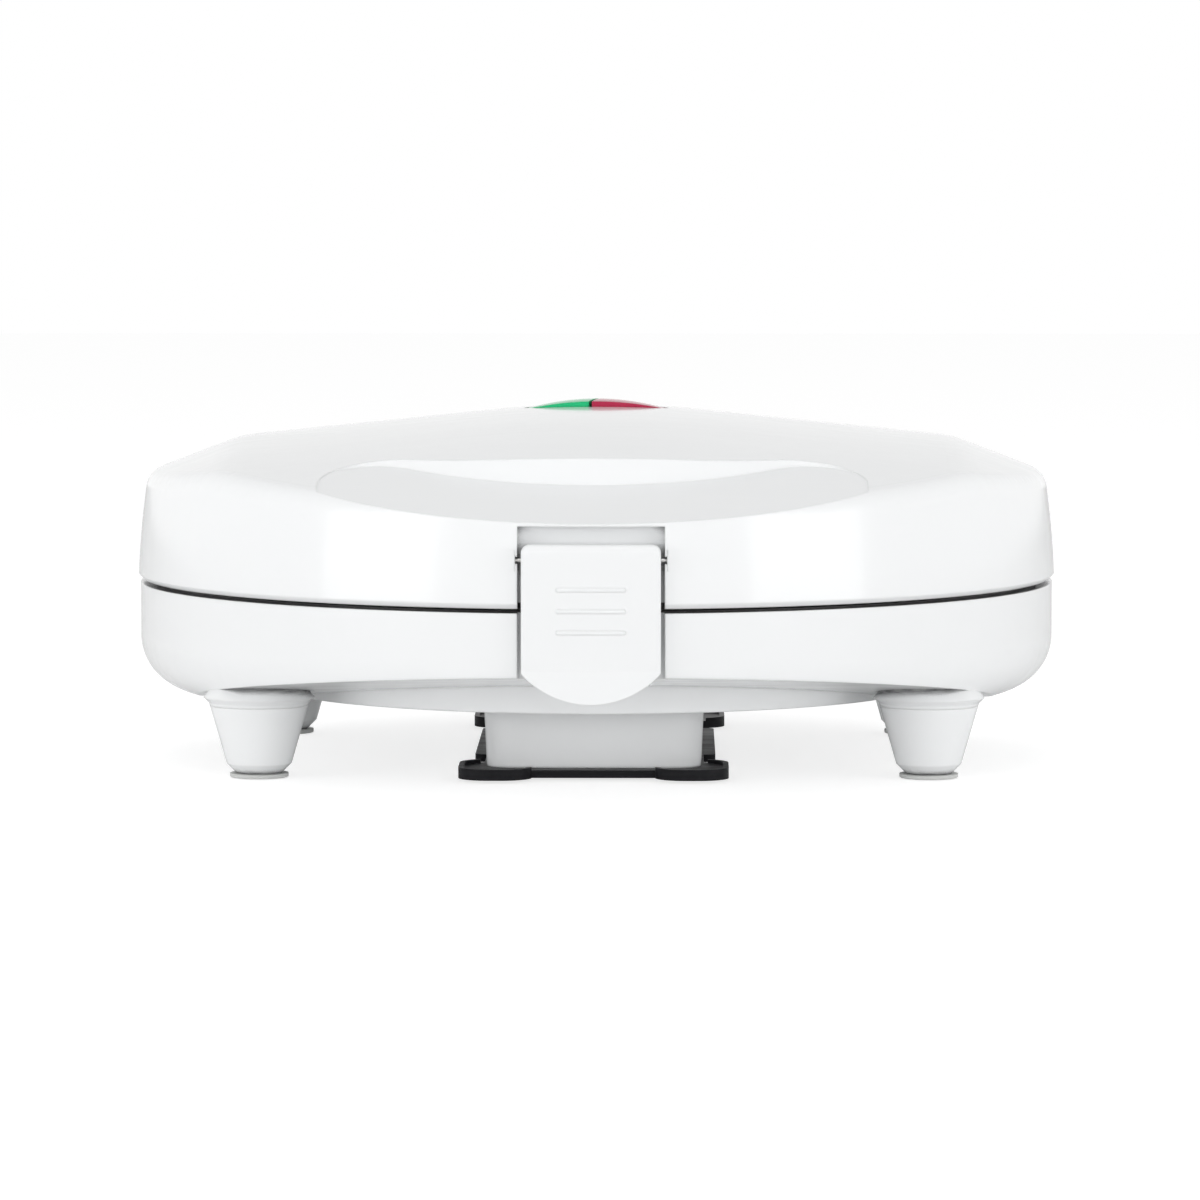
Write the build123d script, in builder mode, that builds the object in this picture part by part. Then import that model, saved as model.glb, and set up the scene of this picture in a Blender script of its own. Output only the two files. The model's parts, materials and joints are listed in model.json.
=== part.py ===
from build123d import *
import os
from math import asin, cos, radians, sin, sqrt, tan

os.makedirs("parts", exist_ok=True)

# Round sandwich maker. Millimetres, +Z up, front towards -Y, origin on the table
# under the middle of the object.

# Overall form
lid_radius = 115.5            # lid wall just above the seam
base_radius = 115.0           # base wall just below the seam
seam_height = 45.0            # middle of the gap between lid and base
seam_gap = 1.0
housing_wall = 2.5
half_depth = 120.0            # latch lip in front and hinge at the back reach this far

# Base
base_bottom = 17.7            # underside of the base above the table
base_corner_radius = 13.5     # rounding from wall to underside
pan_radius = 82.0             # round pan left standing by the undercut
undercut_start = -34.0        # Y where the front undercut leaves the underside
undercut_angle = 8.2          # degrees
foot_x = 82.0
foot_y = 57.0
foot_bottom_radius = 8.0
foot_top_radius = 12.3
foot_flare_radius = 13.6      # collar where the foot meets the underside
foot_collar_height = 19.6
foot_dome_height = 26.5
foot_pad_radius = 7.2
foot_pad_height = 1.0
foot_pad_edge = 0.3
foot_edge = 2.4               # slope round the leg's lower end
foot_collar_edge = 1.2

# Lid
lid_shoulder_radius = 112.3   # wall radius at the height below
lid_shoulder_height = 76.0
lid_wall_middle_radius = 114.7
lid_wall_middle_height = 58.5
lid_lip = 1.2                 # slope of the wall's lower edge
ridge_height = 89.7           # where the two flanks of the crown would meet
flank_angle = 5.8             # degrees, crown falling to each side
crown_round_radius = 245.0    # rounding of the crown over the middle
crown_arch_radius = 373.0     # crown seen from the side
bevel_x = 90.3                # crease between flank and side bevel
bevel_angle = 21.0            # degrees
bevel_round_radius = 26.0
shoulder_fillet = 5.5
lid_inner_wall = 14.0         # straight inner wall above the rim
lid_inner_slope = 5.0
lid_inner_slope_rise = 4.5
lid_haunch_radius = 84.0
lid_haunch_drop = 11.5        # below the ceiling
lid_crest_radius = 60.0
lid_crest_drop = 4.0

# Finger scoop in the lid
scoop_rim_y = -113.0          # where the scoop's floor meets the wall
scoop_rim_height = 65.9
scoop_floor_angle = 14.0      # degrees
scoop_back_radius = 82.0      # arc of the scoop's back edge
scoop_depth = 29.9            # from rim to back edge along the floor
scoop_half_width = 66.0
scoop_end_radius = 14.0
scoop_draft = 34.0            # degrees
scoop_floor_fillet = 4.0

# Indicator window
lens_half_length = 18.0
lens_half_depth = 7.0
lens_top = 90.1
lens_dome_radius = 63.0
lens_gap = 0.8
lens_slant = 12.0             # degrees, the gap between the lenses seen from above
lens_flange = 1.5
lens_flange_height = 1.2
lens_clearance = 0.25
lid_ceiling = 82.0            # inside of the crown above the lamps
lid_ceiling_radius = 27.0

# Cooking plates
plate_opening_radius = 111.0  # inside of both housings
plate_clearance = 0.4
plate_proud = 0.35            # plate face beyond the housing's rim
plate_rim = 1.6               # thickness of the plate's flange
plate_back = 13.5             # from the face to the back of the pockets
plate_half_width = 97.0
plate_half_depth = 48.0
plate_corner_radius = 14.0
plate_draft = 8.0             # degrees
slice_size = 90.0             # one slice of bread
slice_gap = 7.0               # land between the two slices
ridge_width = 4.0             # diagonal cutting ridge
pocket_depth = 10.8
pocket_draft = 24.0           # degrees
pocket_corner_radius = 8.0
pocket_floor_fillet = 3.0
post_x = 78.0
post_y = 34.0
post_radius = 3.0

# Screws of the plates
screw_side_x = 104.5
screw_end_y = 96.0
screw_radius = 1.6
screw_head_radius = 3.0
screw_length = 11.0
screw_clearance = 0.15
screw_end_room = 2.0
boss_radius = 4.5

# Heating
element_radius = 3.25
element_half_width = 62.0
element_half_depth = 32.0
element_bend_radius = 12.0
element_end_x = 16.0
element_end_y = 56.0
element_gap = 0.3
clamp_thickness = 1.0
clamp_length = 9.0
clamp_foot = 7.0
clamp_clearance = 0.15
bead_radius = 4.2
bead_length = 5.0
tab_width = 6.3
tab_thickness = 0.8
tab_length = 8.0
shield_thickness = 0.8
shield_half_width = 84.0
shield_half_depth = 42.0
shield_corner_radius = 10.0
shield_gap = 0.3              # between clamps and shield
shield_hole_radius = 11.0
thermostat_radius = 8.0
thermostat_height = 6.0
thermostat_edge = 0.8
thermostat_tab_height = 4.5
fuse_y = -19.0
fuse_radius = 2.4
fuse_length = 26.0
fuse_wire_radius = 0.6
fuse_wire_length = 7.0

# Hinge
hinge_y = 115.5
hinge_x = 32.0
knuckle_radius = half_depth - hinge_y
knuckle_half_width = 5.0
ear_width = 5.0
hinge_side_gap = 0.5
hinge_pocket_gap = 0.5
hinge_pin_radius = 1.6
hinge_fit = 0.02
hinge_running_fit = 0.06
pin_head_radius = 2.6
pin_head_length = 1.0
hinge_root_y = 104.0
ear_root_height = 22.0
knuckle_root_height = 68.0

# Latch
latch_width = 33.0
latch_side_gap = 0.9
latch_front_y = -117.0
latch_thickness = 2.4
latch_top = 61.0
latch_bend = 31.0             # height where the lip turns outwards
latch_bottom = 23.3
latch_lip_radius = 22.5       # round lower edge
latch_edge = 0.7
latch_top_round = 2.2
notch_top = 65.0
notch_back_y = -109.2         # back of the notch in the lid
base_notch_back_y = -110.4
latch_pin_y = -112.5
latch_pin_z = 57.0
latch_pin_radius = 1.25
latch_pin_grip = 2.2          # length of pin held by the lid each side
latch_pin_wall = 1.0          # lid beyond the pin's ends
latch_fit = 0.05
latch_knuckle_radius = 2.8
rib_length = 16.5
rib_height = 0.55
rib_thickness = 0.95
rib_round = 0.35
rib_heights = (50.3, 45.2, 40.2)
hook_bottom = 34.6
hook_top = 37.7
hook_tip_height = 0.8
catch_clearance = 0.3
catch_reach = 2.6
catch_height = 3.2
catch_tip_height = 1.1
catch_half_width = 8.0

# Cord winder
winder_y = 9.0                # middle of the winder
core_width = 54.0
core_length = 138.0
core_corner_radius = 7.0
core_draft = 2.6              # degrees
core_wall = 2.4
core_flange = 0.8
core_flange_height = 1.6
winder_plate_bottom = 0.5
winder_plate_thickness = 1.9
winder_lobe_rim_height = 0.8
winder_lobe_rim_width = 1.3
winder_waist_width = 54.0
winder_waist_length = 148.0
winder_middle_width = 60.0
winder_middle_length = 70.0
winder_lobe_x = 24.0
winder_lobe_y = 67.5
winder_lobe_width = 18.0
winder_lobe_length = 27.0
winder_lobe_radius = 7.5
winder_rim_clearance = 1.0    # between the drum and the rims of the lobes
winder_corner_round = 2.0
winder_screw_reach = 59.0     # from the winder's middle to each screw
winder_screw_radius = 1.75
winder_screw_head_radius = 3.4
winder_screw_top = 27.0

# Supply
inlet_height = 36.5
inlet_radius = 4.5
inlet_bore_radius = 3.2
inlet_flange_radius = 5.6
inlet_flange_thickness = 1.5
inlet_fit = 0.1
inlet_stand_out = 0.2         # bush beyond the wall outside
inlet_stand_in = 1.2          # and inside
terminal_x = 34.0
terminal_y = 70.0
terminal_width = 28.0
terminal_depth = 15.0
terminal_height = 11.0
terminal_corner_radius = 1.5
terminal_well_radius = 2.6
terminal_well_depth = 5.5
terminal_pitch = 9.0

# Lamps
holder_half_width = 22.0
holder_half_depth = 10.5
holder_wall = 1.5
holder_height = 10.0
lamp_radius = 2.5
lamp_length = 11.0
lamp_x = 9.0
lamp_gap = 0.3
lamp_tip_round = 1.5

# Worked out from the sizes above
base_rim = seam_height - seam_gap / 2
lid_rim = seam_height + seam_gap / 2
lower_face = base_rim + plate_proud
upper_face = lid_rim - plate_proud
plate_radius = plate_opening_radius - plate_clearance
base_floor = base_bottom + housing_wall
bevel_base_height = ridge_height + bevel_x * (tan(radians(bevel_angle)) - tan(radians(flank_angle)))
notch_half_width = latch_width / 2 + latch_side_gap
shield_level = plate_back + element_gap + 2 * element_radius + clamp_clearance + clamp_thickness + shield_gap
foot_places = [(x, y) for x in (-foot_x, foot_x) for y in (-foot_y, foot_y)]
plate_screw_places = [(-screw_side_x, 0), (screw_side_x, 0), (0, -screw_end_y), (0, screw_end_y)]
winder_screw_places = [(0, winder_y - winder_screw_reach), (0, winder_y + winder_screw_reach)]
inlet_outer = base_radius + inlet_stand_out
inlet_inner = plate_opening_radius - inlet_stand_in
far = 2 * half_depth          # longer than anything that is cut
touch = 0.01                  # heights nearer than this are the same


def save(part, name):
    """Writes one finished piece under its node name."""
    part.label = name
    export_step(part, f"parts/{name}.step")


def front_undercut(rise, keep_radius):
    """Wedge below the front of the base, lifted by rise, with the round pan left out of it."""
    slope = tan(radians(undercut_angle))
    with BuildPart() as wedge:
        with BuildSketch(Plane.YZ):
            with BuildLine():
                Polyline(
                    (undercut_start + rise / slope, base_bottom),
                    (-far, base_bottom + rise + slope * (far + undercut_start)),
                    (-far, -far),
                    (undercut_start + rise / slope, -far),
                    close=True,
                )
            make_face()
        extrude(amount=far, both=True)
        with BuildSketch(Plane.XY.offset(-far)):
            Circle(keep_radius)
        extrude(amount=2 * far, mode=Mode.SUBTRACT)
    return wedge.part


def hinge_leaf(start_x, width, root_height, rim_height):
    """Hinge ear or knuckle: an eye on a root that tapers into the wall."""
    with BuildPart() as leaf:
        with BuildSketch(Plane.YZ.offset(start_x)):
            with Locations((hinge_y, seam_height)):
                Circle(knuckle_radius)
            with BuildLine():
                Polyline(
                    (hinge_root_y, rim_height),
                    (hinge_y, rim_height),
                    (half_depth, seam_height),
                    (hinge_root_y, root_height),
                    close=True,
                )
            make_face()
        extrude(amount=width)
    return leaf.part


def across(start_x, width, radius):
    """Round bar on the hinge axis, from start_x over width."""
    with BuildPart() as bar:
        with BuildSketch(Plane.YZ.offset(start_x)):
            with Locations((hinge_y, seam_height)):
                Circle(radius)
        extrude(amount=width)
    return bar.part


ear_offset = knuckle_half_width + hinge_side_gap
ear_starts = [hinge_x - ear_offset - ear_width, hinge_x + ear_offset]
ear_starts = ear_starts + [-start - ear_width for start in ear_starts]
knuckle_starts = [-hinge_x - knuckle_half_width, hinge_x - knuckle_half_width]

# Hollow of the base, with the places left solid for notch, bosses and screws
with BuildPart() as base_cavity:
    with BuildSketch(Plane.XZ):
        with BuildLine():
            Polyline(
                (0, base_floor),
                (base_radius - base_corner_radius, base_floor),
                (plate_opening_radius, base_bottom + base_corner_radius),
                (plate_opening_radius, far),
                (0, far),
                close=True,
            )
        make_face()
    revolve(axis=Axis.Z)
    add(front_undercut(housing_wall, pan_radius - housing_wall), mode=Mode.SUBTRACT)
    with BuildSketch(Plane.XY):
        with Locations((0, base_notch_back_y + housing_wall)):
            Rectangle(2 * (notch_half_width + housing_wall), far, align=(Align.CENTER, Align.MAX))
    extrude(amount=base_rim - plate_rim + plate_proud, mode=Mode.SUBTRACT)
    with BuildSketch(Plane.XY):
        with Locations(*plate_screw_places):
            Circle(boss_radius)
    extrude(amount=lower_face - plate_rim, mode=Mode.SUBTRACT)
    with BuildSketch(Plane.XY):
        with Locations(*winder_screw_places):
            Circle(boss_radius)
    extrude(amount=winder_screw_top + housing_wall, mode=Mode.SUBTRACT)

# Foot: tapered leg with a collar and a domed root
dome_rise = foot_dome_height - foot_collar_height
dome_radius = (foot_flare_radius**2 + dome_rise**2) / (2 * dome_rise)
dome_half = asin(foot_flare_radius / dome_radius) / 2
with BuildPart() as foot:
    with BuildSketch(Plane.XZ):
        with BuildLine():
            Polyline(
                (0, foot_dome_height),
                (0, foot_pad_height),
                (foot_bottom_radius - foot_edge, foot_pad_height),
                (foot_bottom_radius, foot_pad_height + foot_edge),
                (foot_top_radius, foot_collar_height - foot_collar_edge),
                (foot_flare_radius, foot_collar_height),
            )
            ThreePointArc(
                (foot_flare_radius, foot_collar_height),
                (dome_radius * sin(dome_half), foot_dome_height - dome_radius * (1 - cos(dome_half))),
                (0, foot_dome_height),
            )
        make_face()
    revolve(axis=Axis.Z)

# The foot is moulded in two: its root on the base shell, and a leg that seats below it
with BuildPart() as foot_root:
    add(foot.part)
    split(bisect_by=Plane.XY.offset(base_bottom), keep=Keep.TOP)
with BuildPart() as leg:
    add(foot.part)
    split(bisect_by=Plane.XY.offset(base_bottom), keep=Keep.BOTTOM)
with BuildPart() as legs:
    with Locations(*foot_places):
        add(leg.part)
save(legs.part, "legs")

# Base shell
with BuildPart() as base_housing:
    with BuildSketch(Plane.XZ):
        with BuildLine():
            Line((0, base_bottom), (base_radius - base_corner_radius, base_bottom))
            TangentArc(
                (base_radius - base_corner_radius, base_bottom),
                (base_radius, base_bottom + base_corner_radius),
                tangent=(1, 0),
            )
            Polyline(
                (base_radius, base_bottom + base_corner_radius),
                (base_radius, base_rim),
                (0, base_rim),
                (0, base_bottom),
            )
        make_face()
    revolve(axis=Axis.Z)
    add(front_undercut(0, pan_radius), mode=Mode.SUBTRACT)
    for start in ear_starts:
        add(hinge_leaf(start, ear_width, ear_root_height, base_rim))
    add(base_cavity.part, mode=Mode.SUBTRACT)
    with Locations(*foot_places):
        add(foot_root.part)
    # Latch notch with its catch
    with BuildSketch(Plane.XY):
        with Locations((0, base_notch_back_y)):
            Rectangle(2 * notch_half_width, far, align=(Align.CENTER, Align.MAX))
    extrude(amount=far, mode=Mode.SUBTRACT)
    catch_bottom = hook_top + catch_clearance
    with BuildSketch(Plane.YZ.offset(-catch_half_width)):
        with BuildLine():
            Polyline(
                (base_notch_back_y, catch_bottom),
                (base_notch_back_y - catch_reach, catch_bottom),
                (base_notch_back_y - catch_reach, catch_bottom + catch_tip_height),
                (base_notch_back_y, catch_bottom + catch_height),
                close=True,
            )
        make_face()
    extrude(amount=2 * catch_half_width)
    # Room for the lid's knuckles, and the bores of the hinge pins
    for start in knuckle_starts:
        add(
            across(
                start - hinge_side_gap,
                2 * (knuckle_half_width + hinge_side_gap),
                knuckle_radius + hinge_pocket_gap,
            ),
            mode=Mode.SUBTRACT,
        )
    for start in ear_starts:
        add(across(start, ear_width, hinge_pin_radius + hinge_fit), mode=Mode.SUBTRACT)
    # Screw bores
    with Locations(*[(x, y, lower_face) for x, y in plate_screw_places]):
        Hole(screw_radius + screw_clearance, depth=screw_length + screw_end_room)
    with BuildSketch(Plane.XY):
        with Locations(*winder_screw_places):
            Circle(winder_screw_radius + screw_clearance)
    extrude(amount=winder_screw_top + screw_clearance, mode=Mode.SUBTRACT)
    # Hole for the cord bush
    with BuildSketch(Plane.XZ.offset(-inlet_outer)):
        with Locations((0, inlet_height)):
            Circle(inlet_radius + inlet_fit)
    extrude(amount=inlet_outer - inlet_inner, mode=Mode.SUBTRACT)
save(base_housing.part, "base_housing")

# Foot pads
with BuildPart() as foot_pads:
    with BuildSketch(Plane.XY):
        with Locations(*foot_places):
            Circle(foot_pad_radius)
    extrude(amount=foot_pad_height)
    fillet(foot_pads.edges().group_by(Axis.Z)[0], foot_pad_edge)
save(foot_pads.part, "foot_pads")


# Crown of the lid: two flanks and two side bevels, each an arch drawn along a slope
def arched_slope(height, side, angle):
    """Solid under an arch that runs down to one side at an angle."""
    drop = crown_arch_radius - sqrt(crown_arch_radius**2 - half_depth**2)
    with BuildPart() as slope:
        with BuildSketch(Plane.YZ):
            with BuildLine():
                ThreePointArc((-half_depth, height - drop), (0, height), (half_depth, height - drop))
                Polyline(
                    (half_depth, height - drop),
                    (half_depth, -far),
                    (-half_depth, -far),
                    (-half_depth, height - drop),
                )
            make_face()
        extrude(amount=far, dir=(side, 0, -tan(radians(angle))), both=True)
    return slope.part


def creases(part):
    """Edges that run over the top of the crown, from the middle one outwards."""
    over_top = part.edges().filter_by(
        lambda e: e.position_at(0.5).Z > lid_shoulder_height and abs(e.position_at(0.5).Y) < half_depth / 2
    )
    return over_top.sort_by(lambda e: abs(e.position_at(0.5).X))


with BuildPart() as crown:
    add(arched_slope(ridge_height, 1, flank_angle))
    add(arched_slope(ridge_height, -1, flank_angle), mode=Mode.INTERSECT)
    add(arched_slope(bevel_base_height, 1, bevel_angle), mode=Mode.INTERSECT)
    add(arched_slope(bevel_base_height, -1, bevel_angle), mode=Mode.INTERSECT)
    fillet(creases(crown)[0], crown_round_radius)
    fillet(creases(crown)[-2:], bevel_round_radius)

# Tool that cuts the finger scoop: tilted floor, arc at the back, round ends, sloping walls
scoop_tilt = radians(scoop_floor_angle)
scoop_floor = Plane(
    origin=(0, scoop_rim_y, scoop_rim_height),
    x_dir=(1, 0, 0),
    z_dir=(0, -sin(scoop_tilt), cos(scoop_tilt)),
)
with BuildPart() as scoop:
    arc_center = scoop_depth + scoop_back_radius
    arc_end = arc_center - sqrt(scoop_back_radius**2 - scoop_half_width**2)
    with BuildSketch(scoop_floor) as scoop_outline:
        with BuildLine():
            ThreePointArc((-scoop_half_width, arc_end), (0, scoop_depth), (scoop_half_width, arc_end))
            Polyline(
                (scoop_half_width, arc_end),
                (scoop_half_width, -scoop_depth),
                (-scoop_half_width, -scoop_depth),
                (-scoop_half_width, arc_end),
            )
        make_face()
        fillet(scoop_outline.vertices().group_by(Axis.Y)[-1], scoop_end_radius)
    extrude(amount=lid_ceiling - scoop_rim_height, taper=-scoop_draft)
    floor_face = scoop.faces().sort_by(Axis.Z)[0]
    fillet(floor_face.edges(), scoop_floor_fillet)

# Hollow of the lid
with BuildPart() as lid_cavity:
    with BuildSketch(Plane.XZ):
        with BuildLine():
            Polyline(
                (0, 0),
                (plate_opening_radius, 0),
                (plate_opening_radius, lid_rim + lid_inner_wall),
                (plate_opening_radius - lid_inner_slope, lid_rim + lid_inner_wall + lid_inner_slope_rise),
                (lid_haunch_radius, lid_ceiling - lid_haunch_drop),
                (lid_crest_radius, lid_ceiling - lid_crest_drop),
                (lid_ceiling_radius, lid_ceiling),
                (0, lid_ceiling),
                close=True,
            )
        make_face()
    revolve(axis=Axis.Z)
    notch_front = upper_face + plate_rim
    with BuildSketch(Plane.XY.offset(notch_front)):
        with Locations((0, notch_back_y + housing_wall)):
            Rectangle(
                2 * (notch_half_width + latch_pin_grip + latch_pin_wall),
                far,
                align=(Align.CENTER, Align.MAX),
            )
        with Locations(*plate_screw_places):
            Circle(boss_radius)
    extrude(amount=far, mode=Mode.SUBTRACT)

# Lid shell
with BuildPart() as lid_housing:
    with BuildSketch(Plane.XZ):
        with BuildLine():
            Line((0, lid_rim), (lid_radius - lid_lip, lid_rim))
            Line((lid_radius - lid_lip, lid_rim), (lid_radius, lid_rim + lid_lip))
            ThreePointArc(
                (lid_radius, lid_rim + lid_lip),
                (lid_wall_middle_radius, lid_wall_middle_height),
                (lid_shoulder_radius, lid_shoulder_height),
            )
            Polyline(
                (lid_shoulder_radius, lid_shoulder_height),
                (lid_shoulder_radius, ridge_height),
                (0, ridge_height),
                (0, lid_rim),
            )
        make_face()
    revolve(axis=Axis.Z)
    add(crown.part, mode=Mode.INTERSECT)
    shoulder = lid_housing.edges().filter_by(
        lambda e: e.position_at(0.5).Z > lid_wall_middle_height
        and sqrt(e.position_at(0.5).X ** 2 + e.position_at(0.5).Y ** 2) > plate_half_width
        and abs(e.position_at(0.5).Z - lid_shoulder_height) > touch
    )
    fillet(shoulder, shoulder_fillet)
    add(scoop.part, mode=Mode.SUBTRACT)
    for start in knuckle_starts:
        add(hinge_leaf(start, 2 * knuckle_half_width, knuckle_root_height, lid_rim))
    add(lid_cavity.part, mode=Mode.SUBTRACT)
    # Latch notch
    with BuildSketch(Plane.XY):
        with Locations((0, notch_back_y)):
            Rectangle(2 * notch_half_width, far, align=(Align.CENTER, Align.MAX))
    extrude(amount=notch_top, mode=Mode.SUBTRACT)
    # Bores of the latch pin
    with BuildSketch(Plane.YZ):
        with Locations((latch_pin_y, latch_pin_z)):
            Circle(latch_pin_radius + hinge_fit)
    extrude(amount=notch_half_width + latch_pin_grip, both=True, mode=Mode.SUBTRACT)
    # Room for the base's ears, and the bores of the hinge pins
    for start in ear_starts:
        add(
            across(
                start - hinge_side_gap,
                ear_width + 2 * hinge_side_gap,
                knuckle_radius + hinge_pocket_gap,
            ),
            mode=Mode.SUBTRACT,
        )
    for start in knuckle_starts:
        add(
            across(start, 2 * knuckle_half_width, hinge_pin_radius + hinge_running_fit),
            mode=Mode.SUBTRACT,
        )
    # Window for the lenses
    with BuildSketch(Plane.XY.offset(lid_ceiling - lens_flange_height)):
        Ellipse(lens_half_length + lens_clearance, lens_half_depth + lens_clearance)
    extrude(amount=far, mode=Mode.SUBTRACT)
    # Screw bores
    with BuildSketch(Plane.XY):
        with Locations(*plate_screw_places):
            Circle(screw_radius + screw_clearance)
    extrude(amount=upper_face + screw_length + screw_end_room, mode=Mode.SUBTRACT)
save(lid_housing.part, "lid_housing")


def lens_half(side):
    """One half of the domed window, cut along the slanted gap."""
    with BuildPart() as lens:
        with BuildSketch(Plane.XY.offset(lid_ceiling)):
            Ellipse(lens_half_length, lens_half_depth)
        extrude(amount=lens_top - lid_ceiling)
        with BuildSketch(Plane.XY.offset(lid_ceiling - lens_flange_height)):
            Ellipse(lens_half_length + lens_flange, lens_half_depth + lens_flange)
        extrude(amount=lens_flange_height)
        with Locations((0, 0, lens_top - lens_dome_radius)):
            Sphere(lens_dome_radius, mode=Mode.INTERSECT)
        gap_plane = Plane.YZ.rotated((0, 0, -lens_slant)).offset(side * lens_gap / 2)
        split(bisect_by=gap_plane, keep=Keep.TOP if side > 0 else Keep.BOTTOM)
    return lens.part


save(lens_half(-1), "green_lens")
save(lens_half(1), "red_lens")


def cooking_plate(face_height, into):
    """Cast plate for two slices; into is +1 for the lid's plate and -1 for the base's."""
    face_plane = Plane(origin=(0, 0, face_height), x_dir=(1, 0, 0), z_dir=(0, 0, into))
    slice_x = (slice_size + slice_gap) / 2
    with BuildPart() as plate:
        with BuildSketch(face_plane):
            Circle(plate_radius)
        extrude(amount=plate_rim)
        with BuildSketch(face_plane):
            RectangleRounded(2 * plate_half_width, 2 * plate_half_depth, plate_corner_radius)
        extrude(amount=plate_back, taper=plate_draft)
        # Posts that carry the heat shield
        with BuildSketch(face_plane.offset(plate_back)):
            with GridLocations(2 * post_x, 2 * post_y, 2, 2):
                Circle(post_radius)
        extrude(amount=shield_level - plate_back)
        # Four three-cornered pockets, two for each slice
        with BuildSketch(face_plane) as pockets:
            with Locations((-slice_x, 0), (slice_x, 0)):
                Rectangle(slice_size, slice_size)
            with Locations((-slice_x, 0)):
                Rectangle(ridge_width, 2 * slice_size, rotation=-45 * into, mode=Mode.SUBTRACT)
            with Locations((slice_x, 0)):
                Rectangle(ridge_width, 2 * slice_size, rotation=45 * into, mode=Mode.SUBTRACT)
            fillet(pockets.vertices(), pocket_corner_radius)
        extrude(amount=pocket_depth, taper=pocket_draft, mode=Mode.SUBTRACT)
        pocket_floors = plate.faces().filter_by(
            lambda f: abs(f.center().Z - face_height - into * pocket_depth) < touch
        )
        fillet(pocket_floors.edges(), pocket_floor_fillet)
        # Countersunk screw holes
        with Locations(Plane(origin=(0, 0, face_height), x_dir=(1, 0, 0), z_dir=(0, 0, -into))):
            with Locations(*plate_screw_places):
                CounterSinkHole(
                    screw_radius + screw_clearance,
                    screw_head_radius + screw_clearance,
                    depth=plate_rim,
                )
    return plate.part


save(cooking_plate(lower_face, -1), "lower_plate")
save(cooking_plate(upper_face, 1), "upper_plate")


def plate_screws(face_height, into):
    """Four countersunk screws, heads level with the plate's face."""
    head_height = screw_head_radius - screw_radius
    with BuildPart() as screws:
        for x, y in plate_screw_places:
            axis_plane = Plane(origin=(x, y, face_height + into * screw_clearance), z_dir=(0, 0, into))
            with BuildSketch(axis_plane):
                Circle(screw_head_radius)
            with BuildSketch(axis_plane.offset(head_height)):
                Circle(screw_radius)
            loft()
            with BuildSketch(axis_plane.offset(head_height)):
                Circle(screw_radius)
            extrude(amount=screw_length - head_height)
    return screws.part


save(plate_screws(lower_face, -1), "lower_plate_screws")
save(plate_screws(upper_face, 1), "upper_plate_screws")


def heating(face_height, into, prefix):
    """Tubular element with its ends, straps and reflector behind one plate."""
    back = Plane(origin=(0, 0, face_height + into * plate_back), x_dir=(1, 0, 0), z_dir=(0, 0, into))
    tube_level = element_gap + element_radius
    end_y = element_end_y * into
    turn_y = element_half_depth * into
    with BuildPart() as element:
        with BuildLine(back.offset(tube_level)) as route:
            FilletPolyline(
                (-element_end_x, end_y),
                (-element_end_x, turn_y),
                (-element_half_width, turn_y),
                (-element_half_width, -turn_y),
                (element_half_width, -turn_y),
                (element_half_width, turn_y),
                (element_end_x, turn_y),
                (element_end_x, end_y),
                radius=element_bend_radius,
            )
        with BuildSketch(Plane(origin=route.line @ 0, z_dir=route.line % 0)):
            Circle(element_radius)
        sweep()
    save(element.part, f"{prefix}_element")

    with BuildPart() as terminals:
        tube_height = face_height + into * (plate_back + tube_level)
        for x in (-element_end_x, element_end_x):
            with BuildSketch(Plane.XZ.offset(-element_end_y)):
                with Locations((x, tube_height)):
                    Circle(bead_radius)
            extrude(amount=-bead_length)
            with BuildSketch(Plane.XZ.offset(-element_end_y - bead_length)):
                with Locations((x, tube_height)):
                    Rectangle(tab_width, tab_thickness)
            extrude(amount=-tab_length)
    save(terminals.part, f"{prefix}_terminals")

    with BuildPart() as clamps:
        inner = element_radius + clamp_clearance
        outer = inner + clamp_thickness
        for x in (-element_half_width, element_half_width):
            strap_plane = Plane(
                origin=(x, 0, face_height + into * plate_back),
                x_dir=(1, 0, 0),
                z_dir=(0, -into, 0),
            )
            with BuildSketch(strap_plane.offset(-clamp_length / 2)):
                with Locations((0, tube_level)):
                    Circle(outer)
                with Locations((0, tube_level / 2)):
                    Rectangle(2 * outer, tube_level)
                with Locations((0, clamp_thickness / 2)):
                    Rectangle(2 * (outer + clamp_foot), clamp_thickness)
                with Locations((0, tube_level)):
                    Circle(inner, mode=Mode.SUBTRACT)
                with Locations((0, tube_level / 2)):
                    Rectangle(2 * inner, tube_level, mode=Mode.SUBTRACT)
                with Locations((0, -outer)):
                    Rectangle(4 * outer, 2 * outer, mode=Mode.SUBTRACT)
            extrude(amount=clamp_length)
    save(clamps.part, f"{prefix}_element_clamps")

    with BuildPart() as shield:
        with BuildSketch(back.offset(shield_level - plate_back)):
            RectangleRounded(2 * shield_half_width, 2 * shield_half_depth, shield_corner_radius)
            Circle(shield_hole_radius, mode=Mode.SUBTRACT)
        extrude(amount=shield_thickness)
    save(shield.part, f"{prefix}_heat_shield")


heating(lower_face, -1, "lower")
heating(upper_face, 1, "upper")

# Thermostat and fuse on the back of the upper plate
upper_back = upper_face + plate_back
with BuildPart() as thermostat:
    with BuildSketch(Plane.XY.offset(upper_back)):
        Circle(thermostat_radius)
    extrude(amount=thermostat_height)
    chamfer(thermostat.edges().group_by(Axis.Z)[-1], thermostat_edge)
    with BuildSketch(Plane.XY.offset(upper_back + thermostat_height)):
        with GridLocations(2 * thermostat_radius - tab_width, 0, 2, 1):
            Rectangle(tab_thickness, tab_width)
    extrude(amount=thermostat_tab_height)
save(thermostat.part, "thermostat")

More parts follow.
